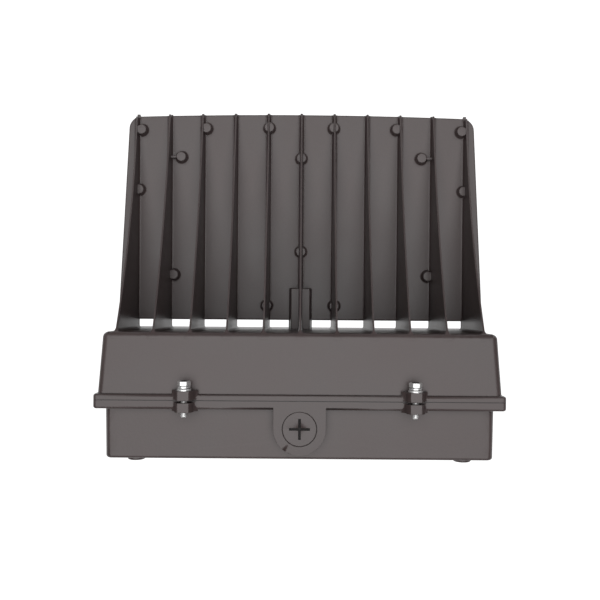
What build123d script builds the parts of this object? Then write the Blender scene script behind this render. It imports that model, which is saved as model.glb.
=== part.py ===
from build123d import *
import os
from math import cos, radians, sin, sqrt, tan

# Full-cutoff LED wall pack light: a finned cast housing hinged to a cast back box.
# Millimetres.  The wall is the plane Y = 0 and the light stands out towards -Y, with +Z up.
# "Out" is a distance out from the wall, so a point at out = 58 lies at Y = -58.

# ---------------------------------------------------------------- driving dimensions
wall = 3.2                  # casting wall thickness

# stack out from the wall
pad_height = 5.2            # wall pads under the back box
box_depth = 52.8            # back box, rear face to the joint plane
door_depth = 59.1           # front housing compartment, joint plane to front wall
air_gap = 10.2              # open slot between compartment and lamp head
head_length = 201.8         # lamp head, rear edge to the middle of the front edge

# back box
box_width = 343.0           # across the rear, before draft
box_height = 131.0
box_corner = 12.0
box_draft = 0.9             # degrees
back_flange_depth = 7.7

# flange, the same outline on both castings
flange_width = 360.0
flange_height = 152.0
flange_corner = 16.0
flange_round = 2.2

# front housing compartment
door_rear_width = 352.8     # at the joint plane
door_rear_height = 146.0
door_front_width = 344.0    # at the front wall
door_front_height = 142.0
door_corner = 10.0
door_round = 5.0            # rounded edge round the front wall
front_flange_depth = 5.3

# lamp head, seen from above
head_top = -13.0            # height of the heat-sink plate's top face
head_rear_width = 359.6
head_front_width = 340.0
head_bow = 3.0              # crown of the front edge
head_corner = 12.0
plate_thickness = 4.0
plate_round = 1.2
rim_height = 19.0           # skirt below the plate
rim_width = 8.0
lens_frame_thickness = 8.0

# fins
fin_count = 11
fin_pitch = 32.2
fin_thickness = 3.0
fin_tip_height = 4.0        # above the plate at the front edge
fin_root_height = 83.0      # above the plate at the front wall
fin_sag = 13.4              # how far the top edge dips below its chord
fin_flare = 3.0             # radius of the fillets where a fin meets the front wall

# screw posts on the plate: half spacing across, distance out
post_radius = 4.4
post_height = 17.6
frame_posts = [(154.5, 310.0), (92.0, 311.7), (31.2, 312.8), (157.0, 252.0), (32.2, 139.6)]
board_posts = [(116.3, 284.0), (123.0, 170.0)]
middle_posts = [283.2, 192.8]
post_web = 2.4

# wiring duct over the centre line
duct_width = 22.8
duct_height = 11.0
duct_round = 3.0
duct_start = 157.4          # distance out of its far end
duct_wall = 2.6

# window and lens
window_width = 280.0
window_length = 150.0
window_middle = 226.0       # distance out
window_corner = 8.0
lens_lap = 6.0              # how far the glass runs past the window
lens_thickness = 4.0
lens_clearance = 0.6
gasket_width = 3.8
gasket_depth = 2.4
frame_inset = 0.6           # the lens frame stands in from the housing rim

# LED board and packages
board_width = 262.0
board_length = 134.0
board_thickness = 1.6
board_corner = 3.0
chip_columns = 14
chip_rows = 6
chip_pitch_x = 17.2
chip_pitch_y = 17.2
chip_size = 3.5
chip_thickness = 1.2
reflector_wall = 1.0
reflector_skirt = 3.0       # its upper edge runs this far outside the board
reflector_lap = 4.0         # and its lower edge this far outside the window
reflector_gap = 0.6         # it ends this far above the glass

# ears and cover bolts
bolt_spacing = 199.5
bolt_height = 80.8          # bolt axis above the centre line
bolt_diameter = 6.0
bolt_hole_clearance = 0.35
bolt_thread_clearance = 0.08
bolt_head_flats = 10.4
bolt_head_thickness = 4.0
bolt_reach = 13.6           # shank end, from the joint plane towards the wall
washer_radius = 6.2
washer_clearance = 0.2
flat_washer_thickness = 1.8
lock_washer_thickness = 2.6
ear_base_width = 22.8
ear_width = 15.4
ear_flat = 9.4
ear_top = 87.0
ear_shoulder = 83.2
upper_ear_depth = 8.2
lower_ear_depth = 8.2
ear_gap = 1.0               # each ear stands back this much from the joint plane

# hinge, below the flange
hinge_drop = 8.0            # pin axis below the flange
hinge_spacing = 200.0
knuckle_radius = 5.6
knuckle_length = 14.0
knuckle_gap = 0.5
pin_radius = 2.5
pin_fit = 0.05              # running clearance in every knuckle

# joint gasket
seal_width = 4.4
seal_depth = 3.0
seal_inset = 5.2            # groove centre line, in from the flange edge

# conduit entries
entry_out = 33.7            # distance out of each entry's axis
boss_radius = 23.0
plug_radius = 14.9
plug_lip = 3.0
plug_thread_radius = 13.1
plug_length = 15.0
plug_recess_clearance = 0.35
thread_clearance = 0.1
cross_length = 18.2
cross_width = 2.3
cross_depth = 2.0
boss_length = 18.0
o_ring_section = 0.9

# wall side
pad_spacing_x = 297.0
pad_spacing_z = 84.0
pad_radius = 8.1
pad_round = 1.4
wall_screw_radius = 3.3
rear_entry_radius = 11.1
rear_entry_boss_radius = 18.0
rear_entry_length = 8.0
wall_gasket_radius = 34.0
wall_gasket_gap = 0.2       # it stops this far short of the wall
ground_place = (60.0, -30.0)
ground_boss_radius = 5.0
ground_boss_length = 8.0
ground_screw_radius = 2.0

# driver compartment
tray_width = 196.0
tray_height = 116.0
tray_thickness = 1.5
tray_lip = 9.0
tray_boss_length = 10.0
tray_boss_radius = 4.5
tray_boss_x = 88.0
tray_boss_z = 48.0
driver_width = 128.0
driver_height = 54.0
driver_depth = 32.0
driver_middle_z = 27.5
driver_tab = 9.0
surge_width = 40.0
surge_height = 30.0
surge_depth = 20.0
surge_x = -54.0
surge_tab = 7.0
terminal_width = 46.0
terminal_height = 20.0
terminal_depth = 16.0
terminal_x = 42.0
terminal_tab = 7.0
tab_thickness = 1.5
low_row_z = -36.0           # centre height of surge protector and terminal block
wire_radius = 1.1
wire_spacing = 3.4
wire_bend = 5.0
lead_height = 20.0          # where the leads leave the driver
lead_reach = 14.0           # how far they stand out from its end
lead_depth = 10.4           # their middle, from the tray
bushing_clearance = 0.1
tray_hole_radius = 9.0

# screws
small_screw_radius = 1.5
small_head_radius = 3.2
small_head_thickness = 2.0
screw_clearance = 0.15

# ---------------------------------------------------------------- derived stations
joint_out = pad_height + box_depth
back_flange_out = joint_out - back_flange_depth
front_flange_out = joint_out + front_flange_depth
door_front_out = joint_out + door_depth
head_rear_out = door_front_out + air_gap
head_front_out = head_rear_out + head_length
plate_under = head_top - plate_thickness
rim_bottom = plate_under - rim_height
frame_bottom = rim_bottom - lens_frame_thickness
board_bottom = plate_under - board_thickness
hinge_pin_length = 3 * knuckle_length + 2 * knuckle_gap
flange_z = flange_height / 2
hinge_z = -flange_z - hinge_drop
inner_front_out = door_front_out - wall
tray_back_out = inner_front_out - tray_boss_length
tray_front_out = tray_back_out - tray_thickness
duct_top = head_top + duct_height
duct_middle_z = (duct_top - duct_wall + plate_under + duct_wall) / 2
box_front_half = box_width / 2 + (box_depth - back_flange_depth) * tan(radians(box_draft))
fin_places = [(i - (fin_count - 1) / 2) * fin_pitch for i in range(fin_count)]
frame_screw_places = [(s * x, -out) for x, out in frame_posts for s in (-1, 1)]
board_screw_places = [(s * x, -out) for x, out in board_posts for s in (-1, 1)]
board_screw_places += [(0, -out) for out in middle_posts]
chip_places = [
    ((i - (chip_columns - 1) / 2) * chip_pitch_x, -window_middle + (j - (chip_rows - 1) / 2) * chip_pitch_y)
    for i in range(chip_columns) for j in range(chip_rows)
]
driver_screw_x = driver_width / 2 + driver_tab / 2
surge_screw_x = surge_width / 2 + surge_tab / 2
tray_hole_places = [(s * driver_screw_x, driver_middle_z) for s in (-1, 1)]
tray_hole_places += [(surge_x + s * surge_screw_x, low_row_z) for s in (-1, 1)]
tray_hole_places += [(terminal_x, low_row_z - terminal_height / 2 - terminal_tab / 2)]
bolt_places = {"left": bolt_spacing / 2, "right": -bolt_spacing / 2}
entry_half = box_width / 2 + (entry_out - pad_height) * tan(radians(box_draft))
entry_planes = {
    "top": Plane((0, -entry_out, flange_z), x_dir=(1, 0, 0), z_dir=(0, 0, 1)),
    "bottom": Plane((0, -entry_out, -flange_z), x_dir=(1, 0, 0), z_dir=(0, 0, -1)),
    "left": Plane((entry_half, -entry_out, 0), x_dir=(0, 0, 1), z_dir=(1, 0, 0)),
    "right": Plane((-entry_half, -entry_out, 0), x_dir=(0, 0, 1), z_dir=(-1, 0, 0)),
}


def facing_out(out):
    """A plane parallel to the wall at a distance out from it; sketches on it extrude outwards."""
    return Plane.XZ.offset(out)


# ---------------------------------------------------------------- shared outlines
# the lamp head from above: sides that flare back to the wall and a gently bowed front edge
with BuildSketch() as head_outline:
    with BuildLine():
        rear = head_rear_width / 2
        front = head_front_width / 2
        front_out = head_front_out - head_bow
        Line((-rear, -head_rear_out), (-front, -front_out))
        ThreePointArc((-front, -front_out), (0, -head_front_out), (front, -front_out))
        Line((front, -front_out), (rear, -head_rear_out))
        Line((rear, -head_rear_out), (-rear, -head_rear_out))
    make_face()
    fillet(head_outline.vertices().sort_by(Axis.Y)[:2], head_corner)
    fillet(head_outline.vertices().sort_by(Axis.Y)[-2:], 2.0)

# an ear seen along the bolt: flared foot, straight sides and a chamfered nose
with BuildSketch() as ear_profile:
    with BuildLine():
        foot = flange_z - bolt_height - 1.0
        shoulder = ear_shoulder - bolt_height
        nose = ear_top - bolt_height
        Polyline(
            (-ear_base_width / 2, foot),
            (-ear_width / 2, foot + 3.8),
            (-ear_width / 2, shoulder),
            (-ear_flat / 2, nose),
            (ear_flat / 2, nose),
            (ear_width / 2, shoulder),
            (ear_width / 2, foot + 3.8),
            (ear_base_width / 2, foot),
            close=True,
        )
    make_face()

with BuildSketch() as window_outline:
    with Locations((0, -window_middle)):
        RectangleRounded(window_width, window_length, window_corner)

with BuildSketch() as lens_outline:
    with Locations((0, -window_middle)):
        RectangleRounded(window_width + 2 * lens_lap, window_length + 2 * lens_lap, window_corner + 2)

with BuildSketch() as flange_outline:
    RectangleRounded(flange_width, flange_height, flange_corner)

with BuildSketch() as seal_outline:
    offset(flange_outline.sketch, amount=-(seal_inset - seal_width / 2))
    offset(flange_outline.sketch, amount=-(seal_inset + seal_width / 2), mode=Mode.SUBTRACT)


def hinge_barrel(x, length, depth, side):
    """A knuckle on the hinge axis with its foot on a flange: side +1 towards the wall, -1 outwards."""
    with BuildPart() as barrel:
        with BuildSketch(Plane.YZ.offset(x - length / 2)):
            with Locations((-joint_out, hinge_z)):
                Circle(knuckle_radius)
            with BuildLine():
                face = -joint_out + side * depth
                Polyline(
                    (-joint_out, hinge_z),
                    (-joint_out, -flange_z + 2.0),
                    (face, -flange_z + 2.0),
                    (face, -flange_z),
                    (-joint_out + side * knuckle_radius, hinge_z),
                    close=True,
                )
            make_face()
        extrude(amount=length)
    return barrel.part


# ---------------------------------------------------------------- back box
with BuildPart() as back_box:
    with BuildSketch(facing_out(pad_height)):
        RectangleRounded(box_width, box_height, box_corner)
    extrude(amount=box_depth - back_flange_depth, taper=-box_draft)
    fillet(back_box.faces().sort_by(Axis.Y)[-1].edges(), 2.6)
    with BuildSketch(facing_out(back_flange_out)):
        add(flange_outline.sketch)
    extrude(amount=back_flange_depth)
    fillet(back_box.faces().filter_by(Axis.Y).sort_by(Axis.Y)[1].outer_wire().edges(), flange_round)
    # U-shaped conduit bosses flush with the flange, above and below
    for side in ("top", "bottom"):
        sense = 1 if side == "top" else -1
        with BuildSketch(entry_planes[side]):
            Circle(boss_radius)
            with Locations((0, -sense * (joint_out - entry_out) / 2 + 1)):
                Rectangle(2 * boss_radius, joint_out - entry_out - 2)
        extrude(amount=-boss_length)
    # round bosses inside the two side walls
    for side in ("left", "right"):
        with BuildSketch(entry_planes[side].offset(-wall / 2)):
            Circle(plug_radius + wall)
        extrude(amount=-boss_length + wall / 2)
    box_outside = back_box.part

with BuildPart() as box_cavity:
    with BuildSketch(facing_out(pad_height + wall)):
        RectangleRounded(box_width - 2 * wall, box_height - 2 * wall, box_corner - wall)
    extrude(amount=box_depth, taper=-box_draft)
    for plane in entry_planes.values():
        with BuildSketch(plane):
            Circle(plug_radius + wall)
        extrude(amount=-boss_length, mode=Mode.SUBTRACT)

with BuildPart() as back_box:
    add(box_outside)
    add(box_cavity.part, mode=Mode.SUBTRACT)
    # boss round the rear wire entry and pads against the wall
    with BuildSketch(facing_out(pad_height)):
        Circle(rear_entry_boss_radius)
    extrude(amount=rear_entry_length)
    with BuildSketch(facing_out(0)):
        with GridLocations(pad_spacing_x, pad_spacing_z, 2, 2):
            Circle(pad_radius)
    extrude(amount=pad_height + 0.5)
    fillet(back_box.faces().sort_by(Axis.Y)[-4:].edges(), pad_round)
    with BuildSketch(facing_out(0)):
        with GridLocations(pad_spacing_x, pad_spacing_z, 2, 2):
            Circle(wall_screw_radius)
        Circle(rear_entry_radius)
    extrude(amount=pad_height + rear_entry_length + 1, mode=Mode.SUBTRACT)
    # conduit entries: a threaded bore with a flat recess for the plug's lip
    for plane in entry_planes.values():
        with BuildSketch(plane.offset(1.0)):
            Circle(plug_radius + plug_recess_clearance)
        extrude(amount=-plug_lip - 1.0, mode=Mode.SUBTRACT)
        with BuildSketch(plane):
            Circle(plug_thread_radius + thread_clearance)
        extrude(amount=-boss_length - 1, mode=Mode.SUBTRACT)
    # groove for the joint gasket
    with BuildSketch(facing_out(joint_out)):
        add(seal_outline.sketch)
    extrude(amount=-seal_depth, mode=Mode.SUBTRACT)
    # lower ears, tapped for the cover bolts
    for x in bolt_places.values():
        with BuildSketch(Plane((x, -joint_out + ear_gap, bolt_height), x_dir=(-1, 0, 0), z_dir=(0, 1, 0))):
            add(ear_profile.sketch)
            Circle(bolt_diameter / 2 + bolt_thread_clearance, mode=Mode.SUBTRACT)
        extrude(amount=lower_ear_depth)
    # outer knuckles of each hinge
    for centre in (-hinge_spacing / 2, hinge_spacing / 2):
        for step in (-1, 1):
            x = centre + step * (knuckle_length + knuckle_gap)
            add(hinge_barrel(x, knuckle_length, back_flange_depth, 1))
    with BuildSketch(Plane.YZ):
        with Locations((-joint_out, hinge_z)):
            Circle(pin_radius + pin_fit)
    extrude(amount=flange_width / 2, both=True, mode=Mode.SUBTRACT)
    # boss for the ground screw on the rear wall
    with BuildSketch(facing_out(pad_height + wall / 2)):
        with Locations(ground_place):
            Circle(ground_boss_radius)
    extrude(amount=ground_boss_length)
    with BuildSketch(facing_out(pad_height + wall)):
        with Locations(ground_place):
            Circle(ground_screw_radius + thread_clearance)
    extrude(amount=ground_boss_length, mode=Mode.SUBTRACT)


# ---------------------------------------------------------------- front housing
# heat-sink plate with its skirt
with BuildPart() as lamp_head:
    with BuildSketch(Plane.XY.offset(rim_bottom)):
        add(head_outline.sketch)
    extrude(amount=head_top - rim_bottom)
    fillet(lamp_head.faces().sort_by(Axis.Z)[-1].edges(), plate_round)

with BuildPart() as front_housing:
    # compartment, narrowing towards its front wall, with a rounded front edge
    with BuildSketch(facing_out(joint_out)):
        RectangleRounded(door_rear_width, door_rear_height, door_corner + 1)
    with BuildSketch(facing_out(door_front_out)):
        RectangleRounded(door_front_width, door_front_height, door_corner)
    loft(ruled=True)
    fillet(front_housing.faces().sort_by(Axis.Y)[0].outer_wire().edges(), door_round)
    with BuildSketch(facing_out(joint_out)):
        add(flange_outline.sketch)
    extrude(amount=front_flange_depth)
    fillet(front_housing.faces().filter_by(Axis.Y).sort_by(Axis.Y)[1].outer_wire().edges(), flange_round)
    housing_blank = front_housing.part

# one fin: its side profile, cut to a plan that flares where it meets the front wall
with BuildPart() as fin:
    with BuildSketch(Plane.YZ):
        with BuildLine():
            tip = (-head_front_out - 0.8, head_top + fin_tip_height)
            root = (-door_front_out + door_round - 2.6, head_top + fin_root_height)
            low = (tip[0] + 3.0, plate_under + 1.0)
            middle = ((tip[0] + root[0]) / 2, (tip[1] + root[1]) / 2 - fin_sag)
            ThreePointArc(tip, middle, root)
            Polyline(root, (root[0], plate_under), (-head_rear_out, plate_under), low, tip)
        make_face()
    extrude(amount=fin_pitch / 3, both=True)
    with BuildSketch(Plane.XY.offset(rim_bottom)):
        with BuildLine():
            half = fin_thickness / 2
            wide = half + fin_flare
            flare_out = -door_front_out - fin_flare
            RadiusArc((half, flare_out), (wide, -door_front_out), fin_flare)
            Polyline(
                (wide, -door_front_out),
                (wide, -inner_front_out),
                (-wide, -inner_front_out),
                (-wide, -door_front_out),
            )
            RadiusArc((-wide, -door_front_out), (-half, flare_out), fin_flare)
            Polyline(
                (-half, flare_out),
                (-half, -head_front_out - 2),
                (half, -head_front_out - 2),
                (half, flare_out),
            )
        make_face()
    extrude(amount=fin_root_height + rim_height + 10, mode=Mode.INTERSECT)

with BuildPart() as compartment_cavity:
    with BuildSketch(facing_out(joint_out)):
        RectangleRounded(door_rear_width - 2 * wall, door_rear_height - 2 * wall, door_corner + 1 - wall)
    with BuildSketch(facing_out(inner_front_out)):
        RectangleRounded(door_front_width - 2 * wall, door_front_height - 2 * wall, door_corner - wall)
    loft(ruled=True)

with BuildPart() as front_housing:
    add(housing_blank)
    add(lamp_head.part)
    with Locations([(x, 0, 0) for x in fin_places]):
        add(fin.part)
    # wiring duct over the centre line, across the air gap
    with BuildSketch(Plane.YZ.offset(-duct_width / 2)):
        with Locations((-(duct_start + inner_front_out) / 2, (duct_top + plate_under) / 2)):
            Rectangle(duct_start - inner_front_out, duct_top - plate_under)
    extrude(amount=duct_width)
    # round screw posts, two of them webbed to the nearest fin
    with BuildSketch(Plane.XY.offset(head_top)):
        with Locations(frame_screw_places + board_screw_places):
            Circle(post_radius)
    extrude(amount=post_height)
    post_x, post_out = board_posts[0]
    for side in (-1, 1):
        with BuildSketch(Plane.XY.offset(head_top)):
            with Locations((side * (post_x + fin_places[-2]) / 2, -post_out)):
                Rectangle(fin_places[-2] - post_x, post_web)
        extrude(amount=post_height - 2.0)
    # hollow the compartment, the lamp head and the duct
    add(compartment_cavity.part, mode=Mode.SUBTRACT)
    with BuildSketch(Plane.XY.offset(rim_bottom)):
        offset(head_outline.sketch, amount=-rim_width)
    extrude(amount=rim_height, mode=Mode.SUBTRACT)
    with BuildSketch(facing_out(inner_front_out)):
        with Locations((0, duct_middle_z)):
            Rectangle(duct_width - 2 * duct_wall, duct_top - plate_under - 2 * duct_wall)
    extrude(amount=duct_start - inner_front_out - duct_wall, mode=Mode.SUBTRACT)
    with BuildSketch(Plane.XY.offset(plate_under)):
        with Locations((0, -duct_start + duct_wall + 5)):
            Rectangle(duct_width - 2 * duct_wall, 10)
    extrude(amount=plate_thickness, mode=Mode.SUBTRACT)
    # screw bosses under the plate and the blind holes up into the posts
    with BuildSketch(Plane.XY.offset(rim_bottom)):
        with Locations(frame_screw_places):
            Circle(post_radius)
    extrude(amount=rim_height)
    with BuildSketch(Plane.XY.offset(rim_bottom)):
        with Locations(frame_screw_places):
            Circle(small_screw_radius + screw_clearance)
    extrude(amount=rim_height + plate_thickness, mode=Mode.SUBTRACT)
    with BuildSketch(Plane.XY.offset(plate_under)):
        with Locations(board_screw_places):
            Circle(small_screw_radius + screw_clearance)
    extrude(amount=plate_thickness + 6.0, mode=Mode.SUBTRACT)
    # groove for the lens gasket in the foot of the skirt
    with BuildSketch(Plane.XY.offset(rim_bottom)):
        offset(head_outline.sketch, amount=-(rim_width - gasket_width) / 2)
        offset(head_outline.sketch, amount=-(rim_width + gasket_width) / 2, mode=Mode.SUBTRACT)
    extrude(amount=gasket_depth, mode=Mode.SUBTRACT)
    # upper ears, drilled to clear the cover bolts
    for x in bolt_places.values():
        with BuildSketch(Plane((x, -joint_out - ear_gap, bolt_height), x_dir=(1, 0, 0), z_dir=(0, -1, 0))):
            add(ear_profile.sketch)
            Circle(bolt_diameter / 2 + bolt_hole_clearance, mode=Mode.SUBTRACT)
        extrude(amount=upper_ear_depth)
    # middle knuckle of each hinge
    for centre in (-hinge_spacing / 2, hinge_spacing / 2):
        add(hinge_barrel(centre, knuckle_length, front_flange_depth, -1))
    with BuildSketch(Plane.YZ):
        with Locations((-joint_out, hinge_z)):
            Circle(pin_radius + pin_fit)
    extrude(amount=flange_width / 2, both=True, mode=Mode.SUBTRACT)
    # bosses inside the front wall for the driver tray
    with BuildSketch(facing_out(tray_back_out)):
        with GridLocations(2 * tray_boss_x, 2 * tray_boss_z, 2, 2):
            Circle(tray_boss_radius)
    extrude(amount=tray_boss_length + wall / 2)
    with BuildSketch(facing_out(tray_back_out)):
        with GridLocations(2 * tray_boss_x, 2 * tray_boss_z, 2, 2):
            Circle(small_screw_radius + screw_clearance)
    extrude(amount=tray_boss_length - 1, mode=Mode.SUBTRACT)


# ---------------------------------------------------------------- joint seal, hinge pins, wall side
with BuildPart() as box_gasket:
    with BuildSketch(facing_out(joint_out - seal_depth)):
        add(seal_outline.sketch)
    extrude(amount=seal_depth)

with BuildPart() as hinge_pins:
    for centre in (-hinge_spacing / 2, hinge_spacing / 2):
        with BuildSketch(Plane.YZ.offset(centre - hinge_pin_length / 2)):
            with Locations((-joint_out, hinge_z)):
                Circle(pin_radius)
        extrude(amount=hinge_pin_length)
        with BuildSketch(Plane.YZ.offset(centre + hinge_pin_length / 2)):
            with Locations((-joint_out, hinge_z)):
                Circle(pin_radius + 1.2)
        extrude(amount=1.5)

with BuildPart() as wall_gasket:
    with BuildSketch(facing_out(wall_gasket_gap)):
        Circle(wall_gasket_radius)
        Circle(rear_entry_radius + 2, mode=Mode.SUBTRACT)
    extrude(amount=pad_height - wall_gasket_gap)

with BuildPart() as ground_screw:
    with BuildSketch(facing_out(pad_height + wall / 2 + ground_boss_length)):
        with Locations(ground_place):
            RegularPolygon(small_head_radius + 1.0, 6)
    extrude(amount=small_head_thickness + 1.0)
    with BuildSketch(facing_out(pad_height + wall / 2 + ground_boss_length)):
        with Locations(ground_place):
            Circle(ground_screw_radius)
    extrude(amount=-ground_boss_length + 1.6)

# ---------------------------------------------------------------- conduit plugs and their seals
with BuildPart() as plug_blank:
    with BuildSketch(Plane.XY):
        Circle(plug_radius)
    extrude(amount=-plug_lip + o_ring_section)
    fillet(plug_blank.edges().sort_by(Axis.Z)[-1], 0.5)
    with BuildSketch(Plane.XY):
        Circle(plug_thread_radius)
    extrude(amount=-plug_length)
    chamfer(plug_blank.edges().sort_by(Axis.Z)[0], 1.0)
    with BuildSketch(Plane.XY.offset(-plug_lip - 1.5)):
        Circle(plug_thread_radius - 3.0)
    extrude(amount=-plug_length, mode=Mode.SUBTRACT)
    with BuildSketch(Plane.XY):
        Rectangle(cross_length, cross_width)
        Rectangle(cross_width, cross_length)
    extrude(amount=-cross_depth, mode=Mode.SUBTRACT)

conduit_plugs = {}
for side, plane in entry_planes.items():
    with BuildPart() as conduit_plug:
        with Locations(plane.location):
            add(plug_blank.part)
    conduit_plugs[side] = conduit_plug

with BuildPart() as plug_o_rings:
    for plane in entry_planes.values():
        with BuildSketch(plane.offset(-plug_lip)):
            Circle(plug_radius - 0.2)
            Circle(plug_thread_radius + thread_clearance, mode=Mode.SUBTRACT)
        extrude(amount=o_ring_section)

# ---------------------------------------------------------------- cover bolts and washers
ear_face_out = joint_out + ear_gap + upper_ear_depth
lock_washer_out = ear_face_out + flat_washer_thickness
head_seat_out = lock_washer_out + lock_washer_thickness

with BuildPart() as bolt_blank:
    with BuildSketch(facing_out(head_seat_out)):
        RegularPolygon(bolt_head_flats / 2, 6, major_radius=False)
    extrude(amount=bolt_head_thickness)
    with BuildSketch(facing_out(head_seat_out)):
        Circle(bolt_head_flats / 2 + 0.55)
    extrude(amount=bolt_head_thickness, mode=Mode.INTERSECT)
    chamfer(bolt_blank.faces().sort_by(Axis.Y)[0].edges(), 0.5)
    with BuildSketch(facing_out(joint_out - bolt_reach)):
        Circle(bolt_diameter / 2)
    extrude(amount=head_seat_out - joint_out + bolt_reach)
    chamfer(bolt_blank.faces().sort_by(Axis.Y)[-1].edges(), 0.7)

with BuildPart() as flat_washer_blank:
    with BuildSketch(facing_out(ear_face_out)):
        Circle(washer_radius)
        Circle(bolt_diameter / 2 + washer_clearance, mode=Mode.SUBTRACT)
    extrude(amount=flat_washer_thickness)

# the split washer: a ring with a slanted cut through one side
with BuildPart() as lock_washer_blank:
    with BuildSketch(facing_out(lock_washer_out)):
        Circle(washer_radius - 0.4)
        Circle(bolt_diameter / 2 + washer_clearance, mode=Mode.SUBTRACT)
    extrude(amount=lock_washer_thickness)
    with BuildSketch(Plane.XY.offset(bolt_diameter / 2)):
        with BuildLine():
            near, far = -lock_washer_out + 1, -lock_washer_out - lock_washer_thickness - 1
            Polyline((-1.6, near), (-0.8, near), (1.6, far), (0.8, far), close=True)
        make_face()
    extrude(amount=washer_radius, mode=Mode.SUBTRACT)

# ---------------------------------------------------------------- lamp: board, packages, reflector, lens
with BuildPart() as led_board:
    with BuildSketch(Plane.XY.offset(board_bottom)):
        with Locations((0, -window_middle)):
            RectangleRounded(board_width, board_length, board_corner)
        with Locations(board_screw_places):
            Circle(small_screw_radius + 2 * screw_clearance, mode=Mode.SUBTRACT)
    extrude(amount=board_thickness)

with BuildPart() as led_packages:
    with BuildSketch(Plane.XY.offset(board_bottom)):
        with Locations(chip_places):
            Rectangle(chip_size, chip_size)
    extrude(amount=-chip_thickness)

with BuildPart() as board_screws:
    with BuildSketch(Plane.XY.offset(board_bottom)):
        with Locations(board_screw_places):
            Circle(small_head_radius)
    extrude(amount=-small_head_thickness)
    with BuildSketch(Plane.XY.offset(board_bottom)):
        with Locations(board_screw_places):
            Circle(small_screw_radius)
    extrude(amount=board_thickness + plate_thickness + 4.0)

# a thin frame that slopes from round the board out to the window, notched for the LED leads
with BuildPart() as reflector:
    for inset, mode in ((0.0, Mode.ADD), (reflector_wall, Mode.SUBTRACT)):
        upper = 2 * (reflector_skirt - inset)
        lower = 2 * (reflector_lap - inset)
        with BuildSketch(Plane.XY.offset(plate_under)):
            with Locations((0, -window_middle)):
                RectangleRounded(board_width + upper, board_length + upper, board_corner + reflector_skirt - inset)
        with BuildSketch(Plane.XY.offset(rim_bottom + reflector_gap)):
            with Locations((0, -window_middle)):
                RectangleRounded(window_width + lower, window_length + lower, window_corner + 2 - inset)
        loft(ruled=True, mode=mode)
    with BuildSketch(Plane.XY.offset(plate_under)):
        with Locations((0, -window_middle + board_length / 2 + reflector_skirt)):
            Rectangle(4 * wire_spacing, 4 * reflector_skirt)
    extrude(amount=-(board_thickness + 2 * wire_radius + 0.8), mode=Mode.SUBTRACT)

with BuildPart() as lens_gasket:
    with BuildSketch(Plane.XY.offset(rim_bottom)):
        offset(head_outline.sketch, amount=-(rim_width - gasket_width) / 2 - 0.1)
        offset(head_outline.sketch, amount=-(rim_width + gasket_width) / 2 + 0.1, mode=Mode.SUBTRACT)
    extrude(amount=gasket_depth)

with BuildPart() as lens_frame:
    with BuildSketch(Plane.XY.offset(frame_bottom)):
        offset(head_outline.sketch, amount=-frame_inset)
        add(window_outline.sketch, mode=Mode.SUBTRACT)
    extrude(amount=lens_frame_thickness)
    fillet(lens_frame.faces().sort_by(Axis.Z)[0].outer_wire().edges(), 2.5)
    chamfer(lens_frame.faces().sort_by(Axis.Z)[0].inner_wires()[0].edges(), 2.4)
    with BuildSketch(Plane.XY.offset(rim_bottom)):
        offset(lens_outline.sketch, amount=lens_clearance)
    extrude(amount=-lens_thickness, mode=Mode.SUBTRACT)
    with BuildSketch(Plane.XY.offset(frame_bottom)):
        with Locations(frame_screw_places):
            Circle(small_head_radius + 0.4)
    extrude(amount=small_head_thickness + 0.6, mode=Mode.SUBTRACT)
    with BuildSketch(Plane.XY.offset(frame_bottom)):
        with Locations(frame_screw_places):
            Circle(small_screw_radius + 2 * screw_clearance)
    extrude(amount=lens_frame_thickness, mode=Mode.SUBTRACT)

with BuildPart() as lens_glass:
    with BuildSketch(Plane.XY.offset(rim_bottom)):
        add(lens_outline.sketch)
    extrude(amount=-lens_thickness)

with BuildPart() as lens_frame_screws:
    head_seat_z = frame_bottom + small_head_thickness + 0.6
    with BuildSketch(Plane.XY.offset(head_seat_z)):
        with Locations(frame_screw_places):
            Circle(small_head_radius)
    extrude(amount=-small_head_thickness)
    with BuildSketch(Plane.XY.offset(head_seat_z)):
        with Locations(frame_screw_places):
            Circle(small_screw_radius)
    extrude(amount=rim_bottom - head_seat_z + rim_height - 2.0)

# ---------------------------------------------------------------- driver compartment
# bent steel tray on four bosses, with a lip along its upper and lower edges
with BuildPart() as driver_tray:
    with BuildSketch(facing_out(tray_front_out)):
        RectangleRounded(tray_width, tray_height, 2.0)
    extrude(amount=tray_thickness)
    for side in (-1, 1):
        with BuildSketch(facing_out(tray_back_out - tray_thickness / 2)):
            with Locations((0, side * (tray_height - tray_thickness) / 2)):
                Rectangle(tray_width - 8, tray_thickness)
        extrude(amount=-tray_lip)
    with BuildSketch(facing_out(tray_front_out - 1)):
        with GridLocations(2 * tray_boss_x, 2 * tray_boss_z, 2, 2):
            Circle(small_screw_radius + screw_clearance)
        with Locations((0, duct_middle_z)):
            Circle(tray_hole_radius)
        with Locations(tray_hole_places):
            Circle(small_screw_radius)
    extrude(amount=tray_thickness + 2, mode=Mode.SUBTRACT)

with BuildPart() as tray_screws:
    with BuildSketch(facing_out(tray_front_out)):
        with GridLocations(2 * tray_boss_x, 2 * tray_boss_z, 2, 2):
            Circle(small_head_radius)
    extrude(amount=-small_head_thickness)
    with BuildSketch(facing_out(tray_front_out)):
        with GridLocations(2 * tray_boss_x, 2 * tray_boss_z, 2, 2):
            Circle(small_screw_radius)
    extrude(amount=tray_boss_length - 1.5)

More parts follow.
